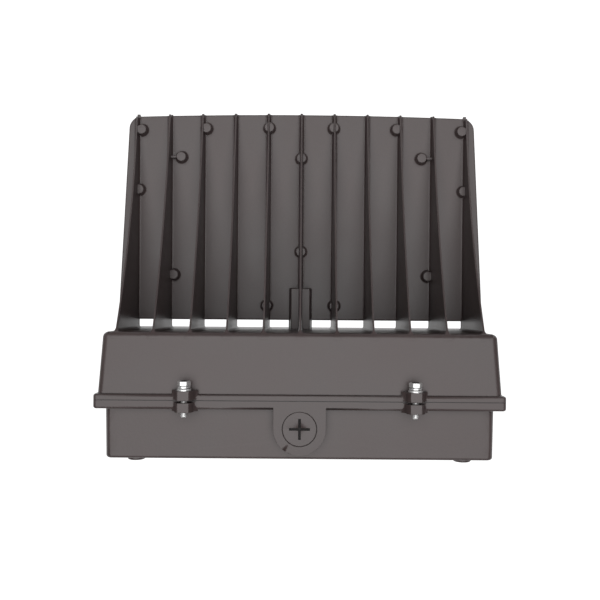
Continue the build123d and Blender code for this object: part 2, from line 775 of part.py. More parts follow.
# potted driver: a closed can with end tabs
with BuildPart() as led_driver:
    with BuildSketch(facing_out(tray_front_out)):
        with Locations((0, driver_middle_z)):
            RectangleRounded(driver_width, driver_height, 3.0)
    extrude(amount=-driver_depth)
    fillet(led_driver.faces().sort_by(Axis.Y)[-1].edges(), 2.0)
    with BuildSketch(facing_out(tray_front_out)):
        with Locations((0, driver_middle_z)):
            RectangleRounded(driver_width + 2 * driver_tab, 16.0, 2.0)
        with Locations(tray_hole_places[:2]):
            Circle(small_screw_radius + screw_clearance, mode=Mode.SUBTRACT)
    extrude(amount=-tab_thickness)

with BuildPart() as surge_protector:
    with BuildSketch(facing_out(tray_front_out)):
        with Locations((surge_x, low_row_z)):
            RectangleRounded(surge_width, surge_height, 3.0)
    extrude(amount=-surge_depth)
    fillet(surge_protector.faces().sort_by(Axis.Y)[-1].edges(), 1.5)
    with BuildSketch(facing_out(tray_front_out)):
        with Locations((surge_x, low_row_z)):
            RectangleRounded(surge_width + 2 * surge_tab, 12.0, 2.0)
        with Locations(tray_hole_places[2:4]):
            Circle(small_screw_radius + screw_clearance, mode=Mode.SUBTRACT)
    extrude(amount=-tab_thickness)

# three-pole block with a row of clamp screws sunk in its face
with BuildPart() as terminal_block:
    with BuildSketch(facing_out(tray_front_out)):
        with Locations((terminal_x, low_row_z)):
            RectangleRounded(terminal_width, terminal_height, 1.0)
    extrude(amount=-terminal_depth)
    with BuildSketch(facing_out(tray_front_out - terminal_depth)):
        with Locations((terminal_x, low_row_z)):
            with GridLocations(terminal_width / 3, terminal_height / 2, 3, 2):
                Circle(2.6)
    extrude(amount=4.0, mode=Mode.SUBTRACT)
    with BuildSketch(facing_out(tray_front_out)):
        with Locations((terminal_x, low_row_z - terminal_height / 2 - terminal_tab / 2)):
            Rectangle(12.0, terminal_tab)
            Circle(small_screw_radius + screw_clearance, mode=Mode.SUBTRACT)
    extrude(amount=-tab_thickness)

with BuildPart() as component_screws:
    with BuildSketch(facing_out(tray_front_out - tab_thickness)):
        with Locations(tray_hole_places):
            Circle(small_head_radius)
    extrude(amount=-small_head_thickness)
    with BuildSketch(facing_out(tray_front_out - tab_thickness)):
        with Locations(tray_hole_places):
            Circle(small_screw_radius - 0.05)
    extrude(amount=tab_thickness + tray_thickness + 3.0)

# ---------------------------------------------------------------- leads held along their whole length
lead_out = tray_front_out - lead_depth


def wire_along(points, radii):
    """A round insulated wire along straight runs joined by arcs."""
    with BuildPart() as wire:
        with BuildLine() as route:
            FilletPolyline(*points, radius=radii) if len(points) > 2 else Line(*points)
        with BuildSketch(Plane(origin=points[0], z_dir=route.line @ 0.001 - route.line @ 0)):
            Circle(wire_radius)
        sweep(path=route.line)
    return wire.part


with BuildPart() as led_leads:
    lead_x = -driver_width / 2 - lead_reach
    duct_end = duct_start - duct_wall - 5.0
    for side in (-1, 1):
        out = lead_out + side * wire_spacing / 2
        x = -side * wire_spacing / 2
        add(wire_along(
            [
                (-driver_width / 2, -out, lead_height),
                (lead_x, -out, lead_height),
                (lead_x, -out, duct_middle_z),
                (x, -out, duct_middle_z),
                (x, -duct_end, duct_middle_z),
                (x, -duct_end, board_bottom - wire_radius - 0.1),
                (x, -duct_end - 13.0, board_bottom - wire_radius - 0.1),
            ],
            wire_bend,
        ))

with BuildPart() as line_leads:
    lead_x = driver_width / 2 + lead_reach
    for side in (-1, 0, 1):
        out = lead_out + side * wire_spacing
        add(wire_along(
            [
                (driver_width / 2, -out, lead_height),
                (lead_x, -out, lead_height),
                (lead_x, -out, low_row_z),
                (terminal_x + terminal_width / 2, -out, low_row_z),
            ],
            wire_bend,
        ))

with BuildPart() as surge_leads:
    for side in (-1, 1):
        out = lead_out + side * wire_spacing / 2
        add(wire_along(
            [
                (surge_x + surge_width / 2, -out, low_row_z),
                (terminal_x - terminal_width / 2, -out, low_row_z),
            ],
            wire_bend,
        ))

# rubber bushing in the mouth of the duct, drilled for the two LED leads
with BuildPart() as wire_bushing:
    mouth_width = duct_width - 2 * duct_wall
    mouth_height = duct_top - plate_under - 2 * duct_wall
    with BuildSketch(facing_out(inner_front_out)):
        with Locations((0, duct_middle_z)):
            RectangleRounded(mouth_width + 5, mouth_height + 5, 2.0)
    extrude(amount=-2.0)
    with BuildSketch(facing_out(inner_front_out)):
        with Locations((0, duct_middle_z)):
            Rectangle(mouth_width - 2 * bushing_clearance, mouth_height - 2 * bushing_clearance)
    extrude(amount=wall + 4)
    with BuildSketch(facing_out(inner_front_out - 2)):
        with Locations((-wire_spacing / 2, duct_middle_z), (wire_spacing / 2, duct_middle_z)):
            Circle(wire_radius + bushing_clearance)
    extrude(amount=wall + 8, mode=Mode.SUBTRACT)

# ---------------------------------------------------------------- cover bolt sets, one each side
bolt_sets = {}
for side, x in bolt_places.items():
    for name, blank in (("bolt", bolt_blank), ("lock_washer", lock_washer_blank), ("flat_washer", flat_washer_blank)):
        with BuildPart() as piece:
            with Locations((x, 0, bolt_height)):
                add(blank.part)
        bolt_sets[f"{name}_{side}"] = piece

# ---------------------------------------------------------------- labelled pieces, one file each
pieces = {
    "back_box": back_box,
    "box_gasket": box_gasket,
    "hinge_pins": hinge_pins,
    "wall_gasket": wall_gasket,
    "ground_screw": ground_screw,
    "plug_o_rings": plug_o_rings,
    "front_housing": front_housing,
    "led_board": led_board,
    "led_packages": led_packages,
    "board_screws": board_screws,
    "reflector": reflector,
    "lens_gasket": lens_gasket,
    "lens_glass": lens_glass,
    "lens_frame": lens_frame,
    "lens_frame_screws": lens_frame_screws,
    "driver_tray": driver_tray,
    "tray_screws": tray_screws,
    "led_driver": led_driver,
    "surge_protector": surge_protector,
    "terminal_block": terminal_block,
    "component_screws": component_screws,
    "wire_bushing": wire_bushing,
    "led_leads": led_leads,
    "line_leads": line_leads,
    "surge_leads": surge_leads,
}
pieces.update({f"conduit_plug_{side}": plug for side, plug in conduit_plugs.items()})
pieces.update({f"cover_{name}": piece for name, piece in bolt_sets.items()})

os.makedirs("parts", exist_ok=True)
for name, piece in pieces.items():
    piece.part.label = name
    export_step(piece.part, f"parts/{name}.step")
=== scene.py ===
import bpy
import bmesh
import math
from mathutils import Matrix, Vector


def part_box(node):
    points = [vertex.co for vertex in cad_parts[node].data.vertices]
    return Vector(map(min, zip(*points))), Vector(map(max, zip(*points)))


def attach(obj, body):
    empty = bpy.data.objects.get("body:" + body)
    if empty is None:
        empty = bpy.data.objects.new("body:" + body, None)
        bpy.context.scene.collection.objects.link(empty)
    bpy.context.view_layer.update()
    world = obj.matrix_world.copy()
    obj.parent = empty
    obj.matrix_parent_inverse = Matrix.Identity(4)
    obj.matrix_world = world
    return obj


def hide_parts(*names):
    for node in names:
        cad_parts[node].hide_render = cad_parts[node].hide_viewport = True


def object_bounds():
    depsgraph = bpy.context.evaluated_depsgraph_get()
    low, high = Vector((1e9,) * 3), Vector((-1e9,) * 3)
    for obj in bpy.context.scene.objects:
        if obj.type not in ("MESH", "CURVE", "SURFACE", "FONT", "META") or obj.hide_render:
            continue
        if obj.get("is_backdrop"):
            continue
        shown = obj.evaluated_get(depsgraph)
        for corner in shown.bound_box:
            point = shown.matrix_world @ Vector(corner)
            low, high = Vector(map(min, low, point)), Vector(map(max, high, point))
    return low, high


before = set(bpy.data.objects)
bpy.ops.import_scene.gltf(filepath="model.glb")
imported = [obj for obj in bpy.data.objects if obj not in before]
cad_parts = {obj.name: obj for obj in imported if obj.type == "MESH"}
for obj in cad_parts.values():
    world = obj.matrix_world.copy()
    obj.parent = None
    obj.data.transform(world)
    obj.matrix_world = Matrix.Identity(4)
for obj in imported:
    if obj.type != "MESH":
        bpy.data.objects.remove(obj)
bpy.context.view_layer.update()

# ------------------------------------------------------------------ front housing, back box and lens frame
# Three aluminium die castings under satin dark bronze powder coat, with the fine texture that it leaves.  The
# two housings are copies of their solids with tighter corners, and the front one's fins, screw posts and
# wiring duct are shaped here.  A dark hairline shows where the flanges close on the gasket.


def new_material(name):
    """A material with a Principled shader; returns the material, its node tree and the shader."""
    material = bpy.data.materials.new(name)
    material.use_nodes = True
    tree = material.node_tree
    return material, tree, tree.nodes["Principled BSDF"]


def texture_group(name, outputs):
    """A shader group of noise values on object coordinates: output name to (scale, detail, stretch)."""
    group = bpy.data.node_groups.new(name, "ShaderNodeTree")
    for output in outputs:
        group.interface.new_socket(output, in_out="OUTPUT", socket_type="NodeSocketFloat")
    end = group.nodes.new("NodeGroupOutput")
    place = group.nodes.new("ShaderNodeTexCoord")
    for output, (scale, detail, stretch) in outputs.items():
        mapping = group.nodes.new("ShaderNodeMapping")
        mapping.inputs["Scale"].default_value = stretch
        noise = group.nodes.new("ShaderNodeTexNoise")
        noise.inputs["Scale"].default_value = scale
        noise.inputs["Detail"].default_value = detail
        group.links.new(place.outputs["Object"], mapping.inputs["Vector"])
        group.links.new(mapping.outputs["Vector"], noise.inputs["Vector"])
        group.links.new(noise.outputs["Fac"], end.inputs[output])
    return group


def compute(tree, operation, *terms):
    """A math node on sockets and numbers; returns its value socket."""
    node = tree.nodes.new("ShaderNodeMath")
    node.operation = operation
    for place, term in zip(node.inputs, terms):
        if isinstance(term, float):
            place.default_value = term
        else:
            tree.links.new(term, place)
    return node.outputs[0]


def line_group():
    """A mask that is 1 within a half width of a plane of constant Y, for joints and seams."""
    group = bpy.data.node_groups.new("joint_line", "ShaderNodeTree")
    for name in ("Place", "Half Width"):
        group.interface.new_socket(name, in_out="INPUT", socket_type="NodeSocketFloat")
    group.interface.new_socket("Mask", in_out="OUTPUT", socket_type="NodeSocketFloat")
    start = group.nodes.new("NodeGroupInput")
    end = group.nodes.new("NodeGroupOutput")
    place = group.nodes.new("ShaderNodeTexCoord")
    split = group.nodes.new("ShaderNodeSeparateXYZ")
    group.links.new(place.outputs["Object"], split.inputs["Vector"])
    mask = compute(group, "COMPARE", split.outputs["Y"], start.outputs["Place"], start.outputs["Half Width"])
    group.links.new(mask, end.inputs["Mask"])
    return group


def use_group(tree, group):
    """A node that stands for a shader group in a material."""
    node = tree.nodes.new("ShaderNodeGroup")
    node.node_tree = group
    return node


def ramp_between(tree, source, low, high, start=0.0, stop=1.0):
    """A colour ramp from one colour to another, driven by a value socket; returns its colour socket."""
    ramp = tree.nodes.new("ShaderNodeValToRGB")
    for element, place, colour in zip(ramp.color_ramp.elements, (start, stop), (low, high)):
        element.position = place
        element.color = (*colour, 1)
    tree.links.new(source, ramp.inputs["Fac"])
    return ramp.outputs["Color"]


def overlay(tree, mask, under, colour):
    """Lays a plain colour over a colour socket where a mask is high; returns the colour socket."""
    mix = tree.nodes.new("ShaderNodeMix")
    mix.data_type = "RGBA"
    mix.inputs["B"].default_value = (*colour, 1)
    tree.links.new(mask, mix.inputs["Factor"])
    tree.links.new(under, mix.inputs["A"])
    return mix.outputs["Result"]


def tint(tree, shader, source, dark, light, start=0.3, stop=0.7):
    """Colours a shader between two tones from a value."""
    tree.links.new(ramp_between(tree, source, dark, light, start, stop), shader.inputs["Base Color"])


def vary(tree, source, low, high, target):
    """Drives a shader socket between two values from a noise value."""
    span = tree.nodes.new("ShaderNodeMapRange")
    span.inputs["From Min"].default_value = 0.3
    span.inputs["From Max"].default_value = 0.7
    span.inputs["To Min"].default_value = low
    span.inputs["To Max"].default_value = high
    tree.links.new(source, span.inputs["Value"])
    tree.links.new(span.outputs["Result"], target)


def add_bump(tree, shader, height, strength, distance, normal=None):
    """Bump from a height value, over an optional softened normal."""
    bump = tree.nodes.new("ShaderNodeBump")
    bump.inputs["Strength"].default_value = strength
    bump.inputs["Distance"].default_value = distance
    tree.links.new(height, bump.inputs["Height"])
    if normal:
        tree.links.new(normal, bump.inputs["Normal"])
    tree.links.new(bump.outputs["Normal"], shader.inputs["Normal"])


powder_texture = texture_group("powder_texture", {
    "Grain": (1500.0, 2.0, (1, 1, 1)),
    "Peel": (420.0, 2.0, (1, 1, 1)),
    "Cloud": (16.0, 4.0, (1, 1, 1)),
})
joint_line = line_group()


def powder_coat(name, dark, light, roughness, line=None):
    """Satin powder coat between two close tones: grain, clouds, softened edges with a pale painted highlight
    along them.
    """
    material, tree, shader = new_material(name)
    texture = use_group(tree, powder_texture)
    tone = compute(tree, "MULTIPLY_ADD", texture.outputs["Grain"], 0.55, texture.outputs["Cloud"])
    colour = ramp_between(tree, tone, dark, light, 0.5, 1.0)
    # a pale painted highlight lies along sharp edges, which the softened normal finds
    soft = tree.nodes.new("ShaderNodeBevel")
    soft.samples = 4
    soft.inputs["Radius"].default_value = 0.0009
    flat = tree.nodes.new("ShaderNodeNewGeometry")
    dot = tree.nodes.new("ShaderNodeVectorMath")
    dot.operation = "DOT_PRODUCT"
    tree.links.new(soft.outputs["Normal"], dot.inputs[0])
    tree.links.new(flat.outputs["Normal"], dot.inputs[1])
    # pale painted highlight where the softened normal turns away from the true one
    edge_highlight = ramp_between(tree, dot.outputs["Value"], (0.45, 0.45, 0.45), (0, 0, 0), 0.80, 0.97)
    colour = overlay(tree, edge_highlight, colour, [3.2 * light[1] + 0.3 * part for part in light])
    if line:
        mask = use_group(tree, joint_line)
        mask.inputs["Place"].default_value = line
        mask.inputs["Half Width"].default_value = 0.00032
        colour = overlay(tree, mask.outputs["Mask"], colour, (0.024, 0.020, 0.020))
    tree.links.new(colour, shader.inputs["Base Color"])
    shader.inputs["Specular IOR Level"].default_value = 0.62
    vary(tree, texture.outputs["Cloud"], roughness - 0.05, roughness + 0.05, shader.inputs["Roughness"])
    add_bump(tree, shader, texture.outputs["Peel"], 0.32, 0.0002, soft.outputs["Normal"])
    return material


def dress(node, *materials):
    """Puts materials on a CAD node that keeps its own shape."""
    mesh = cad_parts[node].data
    mesh.materials.clear()
    for material in materials:
        mesh.materials.append(material)


def merged_copy(node):
    """A CAD node's mesh as a bmesh with its loose triangles joined."""
    mesh = bmesh.new()
    mesh.from_mesh(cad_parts[node].data)
    bmesh.ops.remove_doubles(mesh, verts=mesh.verts, dist=1e-6)
    return mesh


def finish_piece(name, mesh, body, materials, replaced=(), smooth=35):
    """Makes a bmesh a finished piece that rides on a body and stands for CAD nodes."""
    data = bpy.data.meshes.new(name)
    mesh.to_mesh(data)
    mesh.free()
    for material in materials:
        data.materials.append(material)
    data.polygons.foreach_set("use_smooth", [True] * len(data.polygons))
    data.set_sharp_from_angle(angle=math.radians(smooth))
    piece = bpy.data.objects.new(name, data)
    bpy.context.scene.collection.objects.link(piece)
    # broad faces keep their own shading where small rounded edges meet them
    weighing = piece.modifiers.new("flat_faces", "WEIGHTED_NORMAL")
    weighing.keep_sharp = True
    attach(piece, body)
    if replaced:
        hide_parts(*replaced)
    return piece


def lathe(profile, steps=32):
    """A turned shape about +Z from (radius, height) points."""
    mesh = bmesh.new()
    verts = [mesh.verts.new((radius, 0, height)) for radius, height in profile]
    edges = [mesh.edges.new(pair) for pair in zip(verts, verts[1:])]
    bmesh.ops.spin(mesh, geom=verts + edges, cent=(0, 0, 0), axis=(0, 0, 1), dvec=(0, 0, 0),
                   angle=2 * math.pi, steps=steps, use_merge=True)
    bmesh.ops.remove_doubles(mesh, verts=mesh.verts, dist=1e-7)
    bmesh.ops.recalc_face_normals(mesh, faces=mesh.faces)
    return mesh


def join(*parts):
    """One bmesh out of several, each given as (bmesh, matrix); the parts are used up."""
    whole = bmesh.new()
    for part, matrix in parts:
        bmesh.ops.transform(part, matrix=matrix, verts=part.verts)
        step = bpy.data.meshes.new("step")
        part.to_mesh(step)
        part.free()
        whole.from_mesh(step)
        bpy.data.meshes.remove(step)
    return whole


def cut_away(mesh, cutter):
    """One closed bmesh minus another; both are used up."""
    holders = []
    for part in (mesh, cutter):
        bmesh.ops.recalc_face_normals(part, faces=part.faces)
        data = bpy.data.meshes.new("cut_step")
        part.to_mesh(data)
        part.free()
        holder = bpy.data.objects.new("cut_step", data)
        bpy.context.scene.collection.objects.link(holder)
        holders.append(holder)
    knife = holders[0].modifiers.new("cut", "BOOLEAN")
    knife.operation = "DIFFERENCE"
    knife.object = holders[1]
    graph = bpy.context.evaluated_depsgraph_get()
    result = bmesh.new()
    result.from_mesh(holders[0].evaluated_get(graph).data)
    for holder in holders:
        data = holder.data
        bpy.data.objects.remove(holder)
        bpy.data.meshes.remove(data)
    return result


JOINT_OUT = 0.058                 # the flanges' joint, out from the wall
FRONT_OUT = 0.1171                # front wall of the driver compartment
FRONT_ROUND = 0.005               # rounded edge round that wall
PLATE_TOP = -0.013                # top and underside of the heat-sink plate
PLATE_UNDER = -0.017
HEAD_REAR_OUT = 0.1273            # rear and front edge of the lamp head
HEAD_FRONT_OUT = 0.3291
HEAD_HALF = 0.170                 # half its width, and how far its front edge bows out
HEAD_BOW = 0.003


def outline_at(out, part):
    """Half width, half height, corner radius in the solid and on the real casting, at a distance out."""
    if part == "flange":
        return 0.180, 0.076, 0.016, 0.0035
    if out < JOINT_OUT:
        grow = (out - 0.005) * math.tan(math.radians(0.9))
        return 0.1715 + grow, 0.0655 + grow, 0.012, 0.0062
    share = (out - JOINT_OUT) / (FRONT_OUT - JOINT_OUT)
    return 0.1764 - 0.0044 * share, 0.073 - 0.002 * share, 0.0108 - 0.0006 * share, 0.005


def past_outline(x, z, half_width, half_height, radius):
    """How far a point lies outside a rounded rectangle."""
    over_x, over_z = abs(x) - half_width + radius, abs(z) - half_height + radius
    return math.hypot(max(over_x, 0), max(over_z, 0)) + min(max(over_x, over_z), 0) - radius


def tighten_corners(mesh):
    """Draws the castings' upright corners out to their tight radii, walls and flanges alike."""
    skin, wall_reach = 0.0003, 0.0075                # tolerance on a wall's outside, and how far in it reaches
    flange_middle, flange_reach = 0.0567, 0.0068     # where the flanges lie, out from the wall
    widening = 0.0012                                # of the driver compartment, on each side
    for vert in mesh.verts:
        out = -vert.co.y
        if out > FRONT_OUT + 0.0002:
            continue
        wall = outline_at(out, "wall")
        outside = past_outline(vert.co.x, vert.co.z, *wall[:3])
        half_width, half_height, old, new = wall
        if outside > skin:
            if abs(out - flange_middle) > flange_reach:
                continue
            half_width, half_height, old, new = outline_at(out, "flange")
        elif outside < -wall_reach:
            continue
        over_x, over_z = abs(vert.co.x) - half_width + old, abs(vert.co.z) - half_height + old
        if outside <= skin and out > JOINT_OUT and over_x > 0:
            vert.co.x += math.copysign(widening * min(over_x / old, 1), vert.co.x)
        if over_x < 0 or over_z < 0 or (over_x < 1e-6 and over_z < 1e-6):
            continue
        turn = math.atan2(over_z, over_x)
        vert.co.x += math.copysign((old - new) * (1 - math.cos(turn)), vert.co.x)
        vert.co.z += math.copysign((old - new) * (1 - math.sin(turn)), vert.co.z)


def plane_faces(mesh):
    """Joins the triangles of each flat face, so that it is shaded flat."""
    flatness = math.radians(0.08)
    bmesh.ops.dissolve_limit(mesh, angle_limit=flatness, verts=[], edges=mesh.edges[:])


def block(width, depth, height, place, round_over=0.0, segments=3):
    """A box with its middle at a place, its edges rounded over."""
    mesh = bmesh.new()
    bmesh.ops.create_cube(mesh, size=1)
    bmesh.ops.scale(mesh, vec=(width, depth, height), verts=mesh.verts)
    bmesh.ops.translate(mesh, vec=place, verts=mesh.verts)
    if round_over:
        bmesh.ops.bevel(mesh, geom=mesh.edges[:], affect="EDGES", offset=round_over, segments=segments,
                        profile=0.5, material=-1)
    return mesh


def hollow(distance, radius):
    """What a hollow fillet adds at a distance from the face that it runs into."""
    if distance >= radius:
        return 0.0
    if distance <= 0:
        return radius
    return radius - math.sqrt(radius ** 2 - (radius - distance) ** 2)


def cooling_fin(x, sag):
    """One cast fin: thin along its sagging ridge, thicker and hollow-footed at the plate, and flared where it
    runs into the compartment's front wall and over its rounded edge."""
    ridge_half, base_half, flare, foot, tip_height = 0.0008, 0.0021, 0.0036, 0.0012, 0.0055
    root_out, root_height, full_tip = 0.1131, 0.084, HEAD_FRONT_OUT - 0.0002
    box_top, swell, eased, ease = 0.071, 0.6, 0.0004, 0.0001
    # the two outermost fins stop just short of the head's rounded corners
    tip = full_tip - HEAD_BOW * (x / HEAD_HALF) ** 2 - (0.0014 if abs(x) > 0.15 else 0.0)
    even = 34
    stations = [tip + (FRONT_OUT + flare - tip) * step / even for step in range(even + 1)]
    stations += [FRONT_OUT + flare * share for share in (0.8, 0.6, 0.42, 0.27, 0.15, 0.06, 0.0)]
    stations += [FRONT_OUT - 0.0006 * step for step in range(1, 11)]
    # rows up the fin: its foot in the plate, then shares of its height, less a drop below the ridge
    feet = [PLATE_UNDER + 0.0002, PLATE_TOP]
    feet += [PLATE_TOP + foot * share for share in (0.08, 0.25, 0.55, 1.0)]
    lifts = [(0.2, 0), (0.4, 0), (0.6, 0), (0.8, 0), (0.9, 0), (1.0, 0.0005), (1.0, 0.0002), (1.0, 0.0)]
    columns, rows = len(stations) - 1, len(feet) + len(lifts) - 1
    fin = bmesh.new()
    bmesh.ops.create_grid(fin, x_segments=columns, y_segments=rows, size=0.5)
    places = {}
    for vert in fin.verts:
        out = stations[round((vert.co.x + 0.5) * columns)]
        row = round((vert.co.y + 0.5) * rows)
        share = min((full_tip - out) / (full_tip - root_out), 1.0)
        ridge = PLATE_TOP + tip_height + share * (root_height - tip_height)
        ridge -= 4 * sag * share * (1 - share)
        if row < len(feet):
            z = feet[row]
        else:
            lift, drop = lifts[row - len(feet)]
            z = feet[-1] + lift * (ridge - drop - feet[-1])
        height = max(z - PLATE_TOP, 0) / (ridge - PLATE_TOP)
        half = base_half + (ridge_half - base_half) * height ** swell
        half += hollow(z - PLATE_TOP, foot) if out > HEAD_REAR_OUT else 0.0
        rise, reach = z - (box_top - FRONT_ROUND), out - (FRONT_OUT - FRONT_ROUND)
        clear = math.hypot(max(rise, 0), max(reach, 0)) + min(max(rise, reach), 0) - FRONT_ROUND
        half += hollow(clear, flare)
        if ridge - z < eased:
            half -= ease * (1 - (ridge - z) / eased)
        vert.co = (0.0, -out, z)
        places[round(-vert.co.y, 6), round(vert.co.z, 6)] = half
    lifted = bmesh.ops.extrude_face_region(fin, geom=fin.faces[:], use_keep_orig=True)
    far_side = {item for item in lifted["geom"] if isinstance(item, bmesh.types.BMVert)}
    for vert in fin.verts:
        half = places[round(-vert.co.y, 6), round(vert.co.z, 6)]
        vert.co.x = x + (half if vert in far_side else -half)
    bmesh.ops.recalc_face_normals(fin, faces=fin.faces)
    return fin


satin = ((0.048, 0.034, 0.033), (0.068, 0.049, 0.048), 0.40)
bronze = powder_coat("bronze_powder_coat", *satin, -JOINT_OUT)
# all that the solid carries above the plate is cut away and shaped again
above_plate = block(0.4, 0.24, 0.12, (0, -FRONT_OUT - 0.12005, PLATE_TOP + 0.06005))
housing = cut_away(merged_copy("front_housing"), above_plate)
tighten_corners(housing)
# the head's rear edge stands a little nearer the wall than in the solid
REAR_SHIFT = 0.0012
for vert in housing.verts:
    if FRONT_OUT + 0.009 < -vert.co.y < HEAD_REAR_OUT + 0.0016 and vert.co.z < PLATE_TOP + 0.001:
        vert.co.y += REAR_SHIFT
plane_faces(housing)
castings = [housing]
FIN_PITCH, OUTER_SAG, INNER_SAG = 0.03234, 0.0134, 0.0094
for number in range(-5, 6):
    castings.append(cooling_fin(number * FIN_PITCH, OUTER_SAG if abs(number) == 5 else INNER_SAG))
# blind screw posts stand on the plate, beside or astride the fins; two are webbed to the nearest fin
posts = [(0.0, 0.2852), (0.0, 0.1935)]
for side in (-1, 1):
    posts += [(side * x, out) for x, out in (
        (5 * FIN_PITCH - 0.0046, 0.3124), (3 * FIN_PITCH - 0.0036, 0.3142), (FIN_PITCH - 0.0006, 0.3152),
        (5 * FIN_PITCH - 0.0024, 0.2537), (FIN_PITCH + 0.0008, 0.1403), (0.1180, 0.2860), (0.1248, 0.1702))]
    castings.append(block(0.0112, 0.0024, 0.0052, (side * 0.1240, -0.2860, PLATE_TOP + 0.0024), 0.0005))
for x, out in posts:
    post = lathe([(0.0, -0.0005), (0.0066, -0.0005), (0.0064, 0.0001), (0.0058, 0.0005), (0.0055, 0.0012),
                  (0.0047, 0.0064), (0.0045, 0.0068), (0.0042, 0.0070), (0.0, 0.0070)], 40)
    bmesh.ops.translate(post, vec=(x, -out, PLATE_TOP), verts=post.verts)
    castings.append(post)
# the wiring duct runs from the compartment across the air gap and ends on the plate
duct = block(0.0226, 0.0408, 0.0148, (0, -FRONT_OUT + 0.0003 - 0.0204, PLATE_TOP + 0.0110 - 0.0074), 0.0012)
# it narrows towards its top
TOP_SHARE = 0.83
for vert in duct.verts:
    if vert.co.z > PLATE_TOP + 0.005:
        vert.co.x *= TOP_SHARE
bore = block(0.0160, 0.0430, 0.0095, (0, -FRONT_OUT - 0.0150, PLATE_TOP + 0.0036))
castings.append(cut_away(duct, bore))
finish_piece("front_housing_cast", join(*[(part, Matrix.Identity(4)) for part in castings]), "front_housing",
             (bronze,), ("front_housing",), 38)
wall_box = merged_copy("back_box")
tighten_corners(wall_box)
plane_faces(wall_box)
finish_piece("back_box_cast", wall_box, "back_box", (bronze,), ("back_box",), 38)
dress("lens_frame", powder_coat("bronze_frame_coat", *satin))

# ------------------------------------------------------------------ conduit plugs and their seals
# Four flush plugs in the same coat, each with a cast cross for a driver.  The recess of the cross is
# painted nearly black as painted shade.  Rubber rings seal them from below.


plug_coat = powder_coat("bronze_plug_coat", (0.051, 0.037, 0.036), (0.071, 0.052, 0.051), 0.40)
# near-black painted shade for the faces inside each cross recess
recess_shade_material, recess_tree, recess_shader = new_material("plug_recess_painted_shade")
recess_texture = use_group(recess_tree, powder_texture)
tint(recess_tree, recess_shader, recess_texture.outputs["Peel"],
     (0.006, 0.005, 0.005), (0.017, 0.015, 0.014), 0.0, 1.0)
recess_shader.inputs["Roughness"].default_value = 0.8
RECESS_DEPTH, CROSS_REACH = 0.0022, 0.0097
for side, axis, sense in (("top", 2, 1), ("bottom", 2, -1), ("left", 0, 1), ("right", 0, -1)):
    node = "conduit_plug_" + side
    mesh = merged_copy(node)
    low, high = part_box(node)
    middle = (low + high) / 2
    outer = high[axis] if sense > 0 else low[axis]
    for face in mesh.faces:
        centre = face.calc_center_median()
        reach = centre - middle
        reach[axis] = 0
        depth = sense * (outer - centre[axis])
        face.material_index = int(0.0001 < depth < RECESS_DEPTH and reach.length < CROSS_REACH)
    finish_piece(node + "_coated", mesh, "back_box", (plug_coat, recess_shade_material), (node,))


soft_texture = texture_group("soft_texture", {
    "Cloud": (45.0, 5.0, (1, 1, 1)),
    "Pore": (2200.0, 3.0, (1, 1, 1)),
    "Skin": (900.0, 2.0, (1, 1, 1)),
})


def moulded(name, dark, light, roughness, height, strength, distance):
    """A moulded or extruded soft material: a tone, a roughness and a bump that vary from one texture."""
    material, tree, shader = new_material(name)
    source = use_group(tree, soft_texture)
    tint(tree, shader, source.outputs["Cloud"], dark, light)
    vary(tree, source.outputs["Cloud"], roughness - 0.06, roughness + 0.06, shader.inputs["Roughness"])
    add_bump(tree, shader, source.outputs[height], strength, distance)
    return material


silicone = moulded("silicone_grey", (0.20, 0.20, 0.21), (0.27, 0.27, 0.28), 0.62, "Skin", 0.3, 0.0002)
rubber = moulded("rubber_black", (0.012, 0.012, 0.012), (0.024, 0.024, 0.024), 0.55, "Skin", 0.3, 0.0002)
foam = moulded("foam_black", (0.010, 0.010, 0.011), (0.022, 0.022, 0.023), 0.92, "Pore", 0.9, 0.0006)
for node in ("plug_o_rings", "box_gasket", "lens_gasket"):
    dress(node, silicone)
dress("wall_gasket", foam)
dress("wire_bushing", rubber)

# ------------------------------------------------------------------ cover bolts, split washers, flat washers
# Two stainless hex bolts close the housing.  Each has turned chamfers on its head, a cut thread that shows in
# the gap between the ears and past the lower one, a spring washer with offset ends and a plain washer.


def turned_steel(name, centre, dark, light, roughness):
    """Bright turned steel with fine tool rings round an axis along Y through a point."""
    material, tree, shader = new_material(name)
    place = tree.nodes.new("ShaderNodeTexCoord")
    mapping = tree.nodes.new("ShaderNodeMapping")
    mapping.vector_type = "TEXTURE"
    mapping.inputs["Location"].default_value = centre
    rings = tree.nodes.new("ShaderNodeTexWave")
    rings.wave_type = "RINGS"
    rings.rings_direction = "Y"
    rings.inputs["Scale"].default_value = 1100.0
    rings.inputs["Distortion"].default_value = 1.6
    rings.inputs["Detail"].default_value = 3.0
    smudge = tree.nodes.new("ShaderNodeTexNoise")
    smudge.inputs["Scale"].default_value = 320.0
    smudge.inputs["Detail"].default_value = 5.0
    tree.links.new(place.outputs["Object"], mapping.inputs["Vector"])
    tree.links.new(mapping.outputs["Vector"], rings.inputs["Vector"])
    tree.links.new(mapping.outputs["Vector"], smudge.inputs["Vector"])
    tint(tree, shader, smudge.outputs["Fac"], dark, light)
    vary(tree, smudge.outputs["Fac"], roughness - 0.07, roughness + 0.10, shader.inputs["Roughness"])
    add_bump(tree, shader, rings.outputs["Fac"], 0.12, 0.00005)
    shader.inputs["Metallic"].default_value = 0.72
    return material


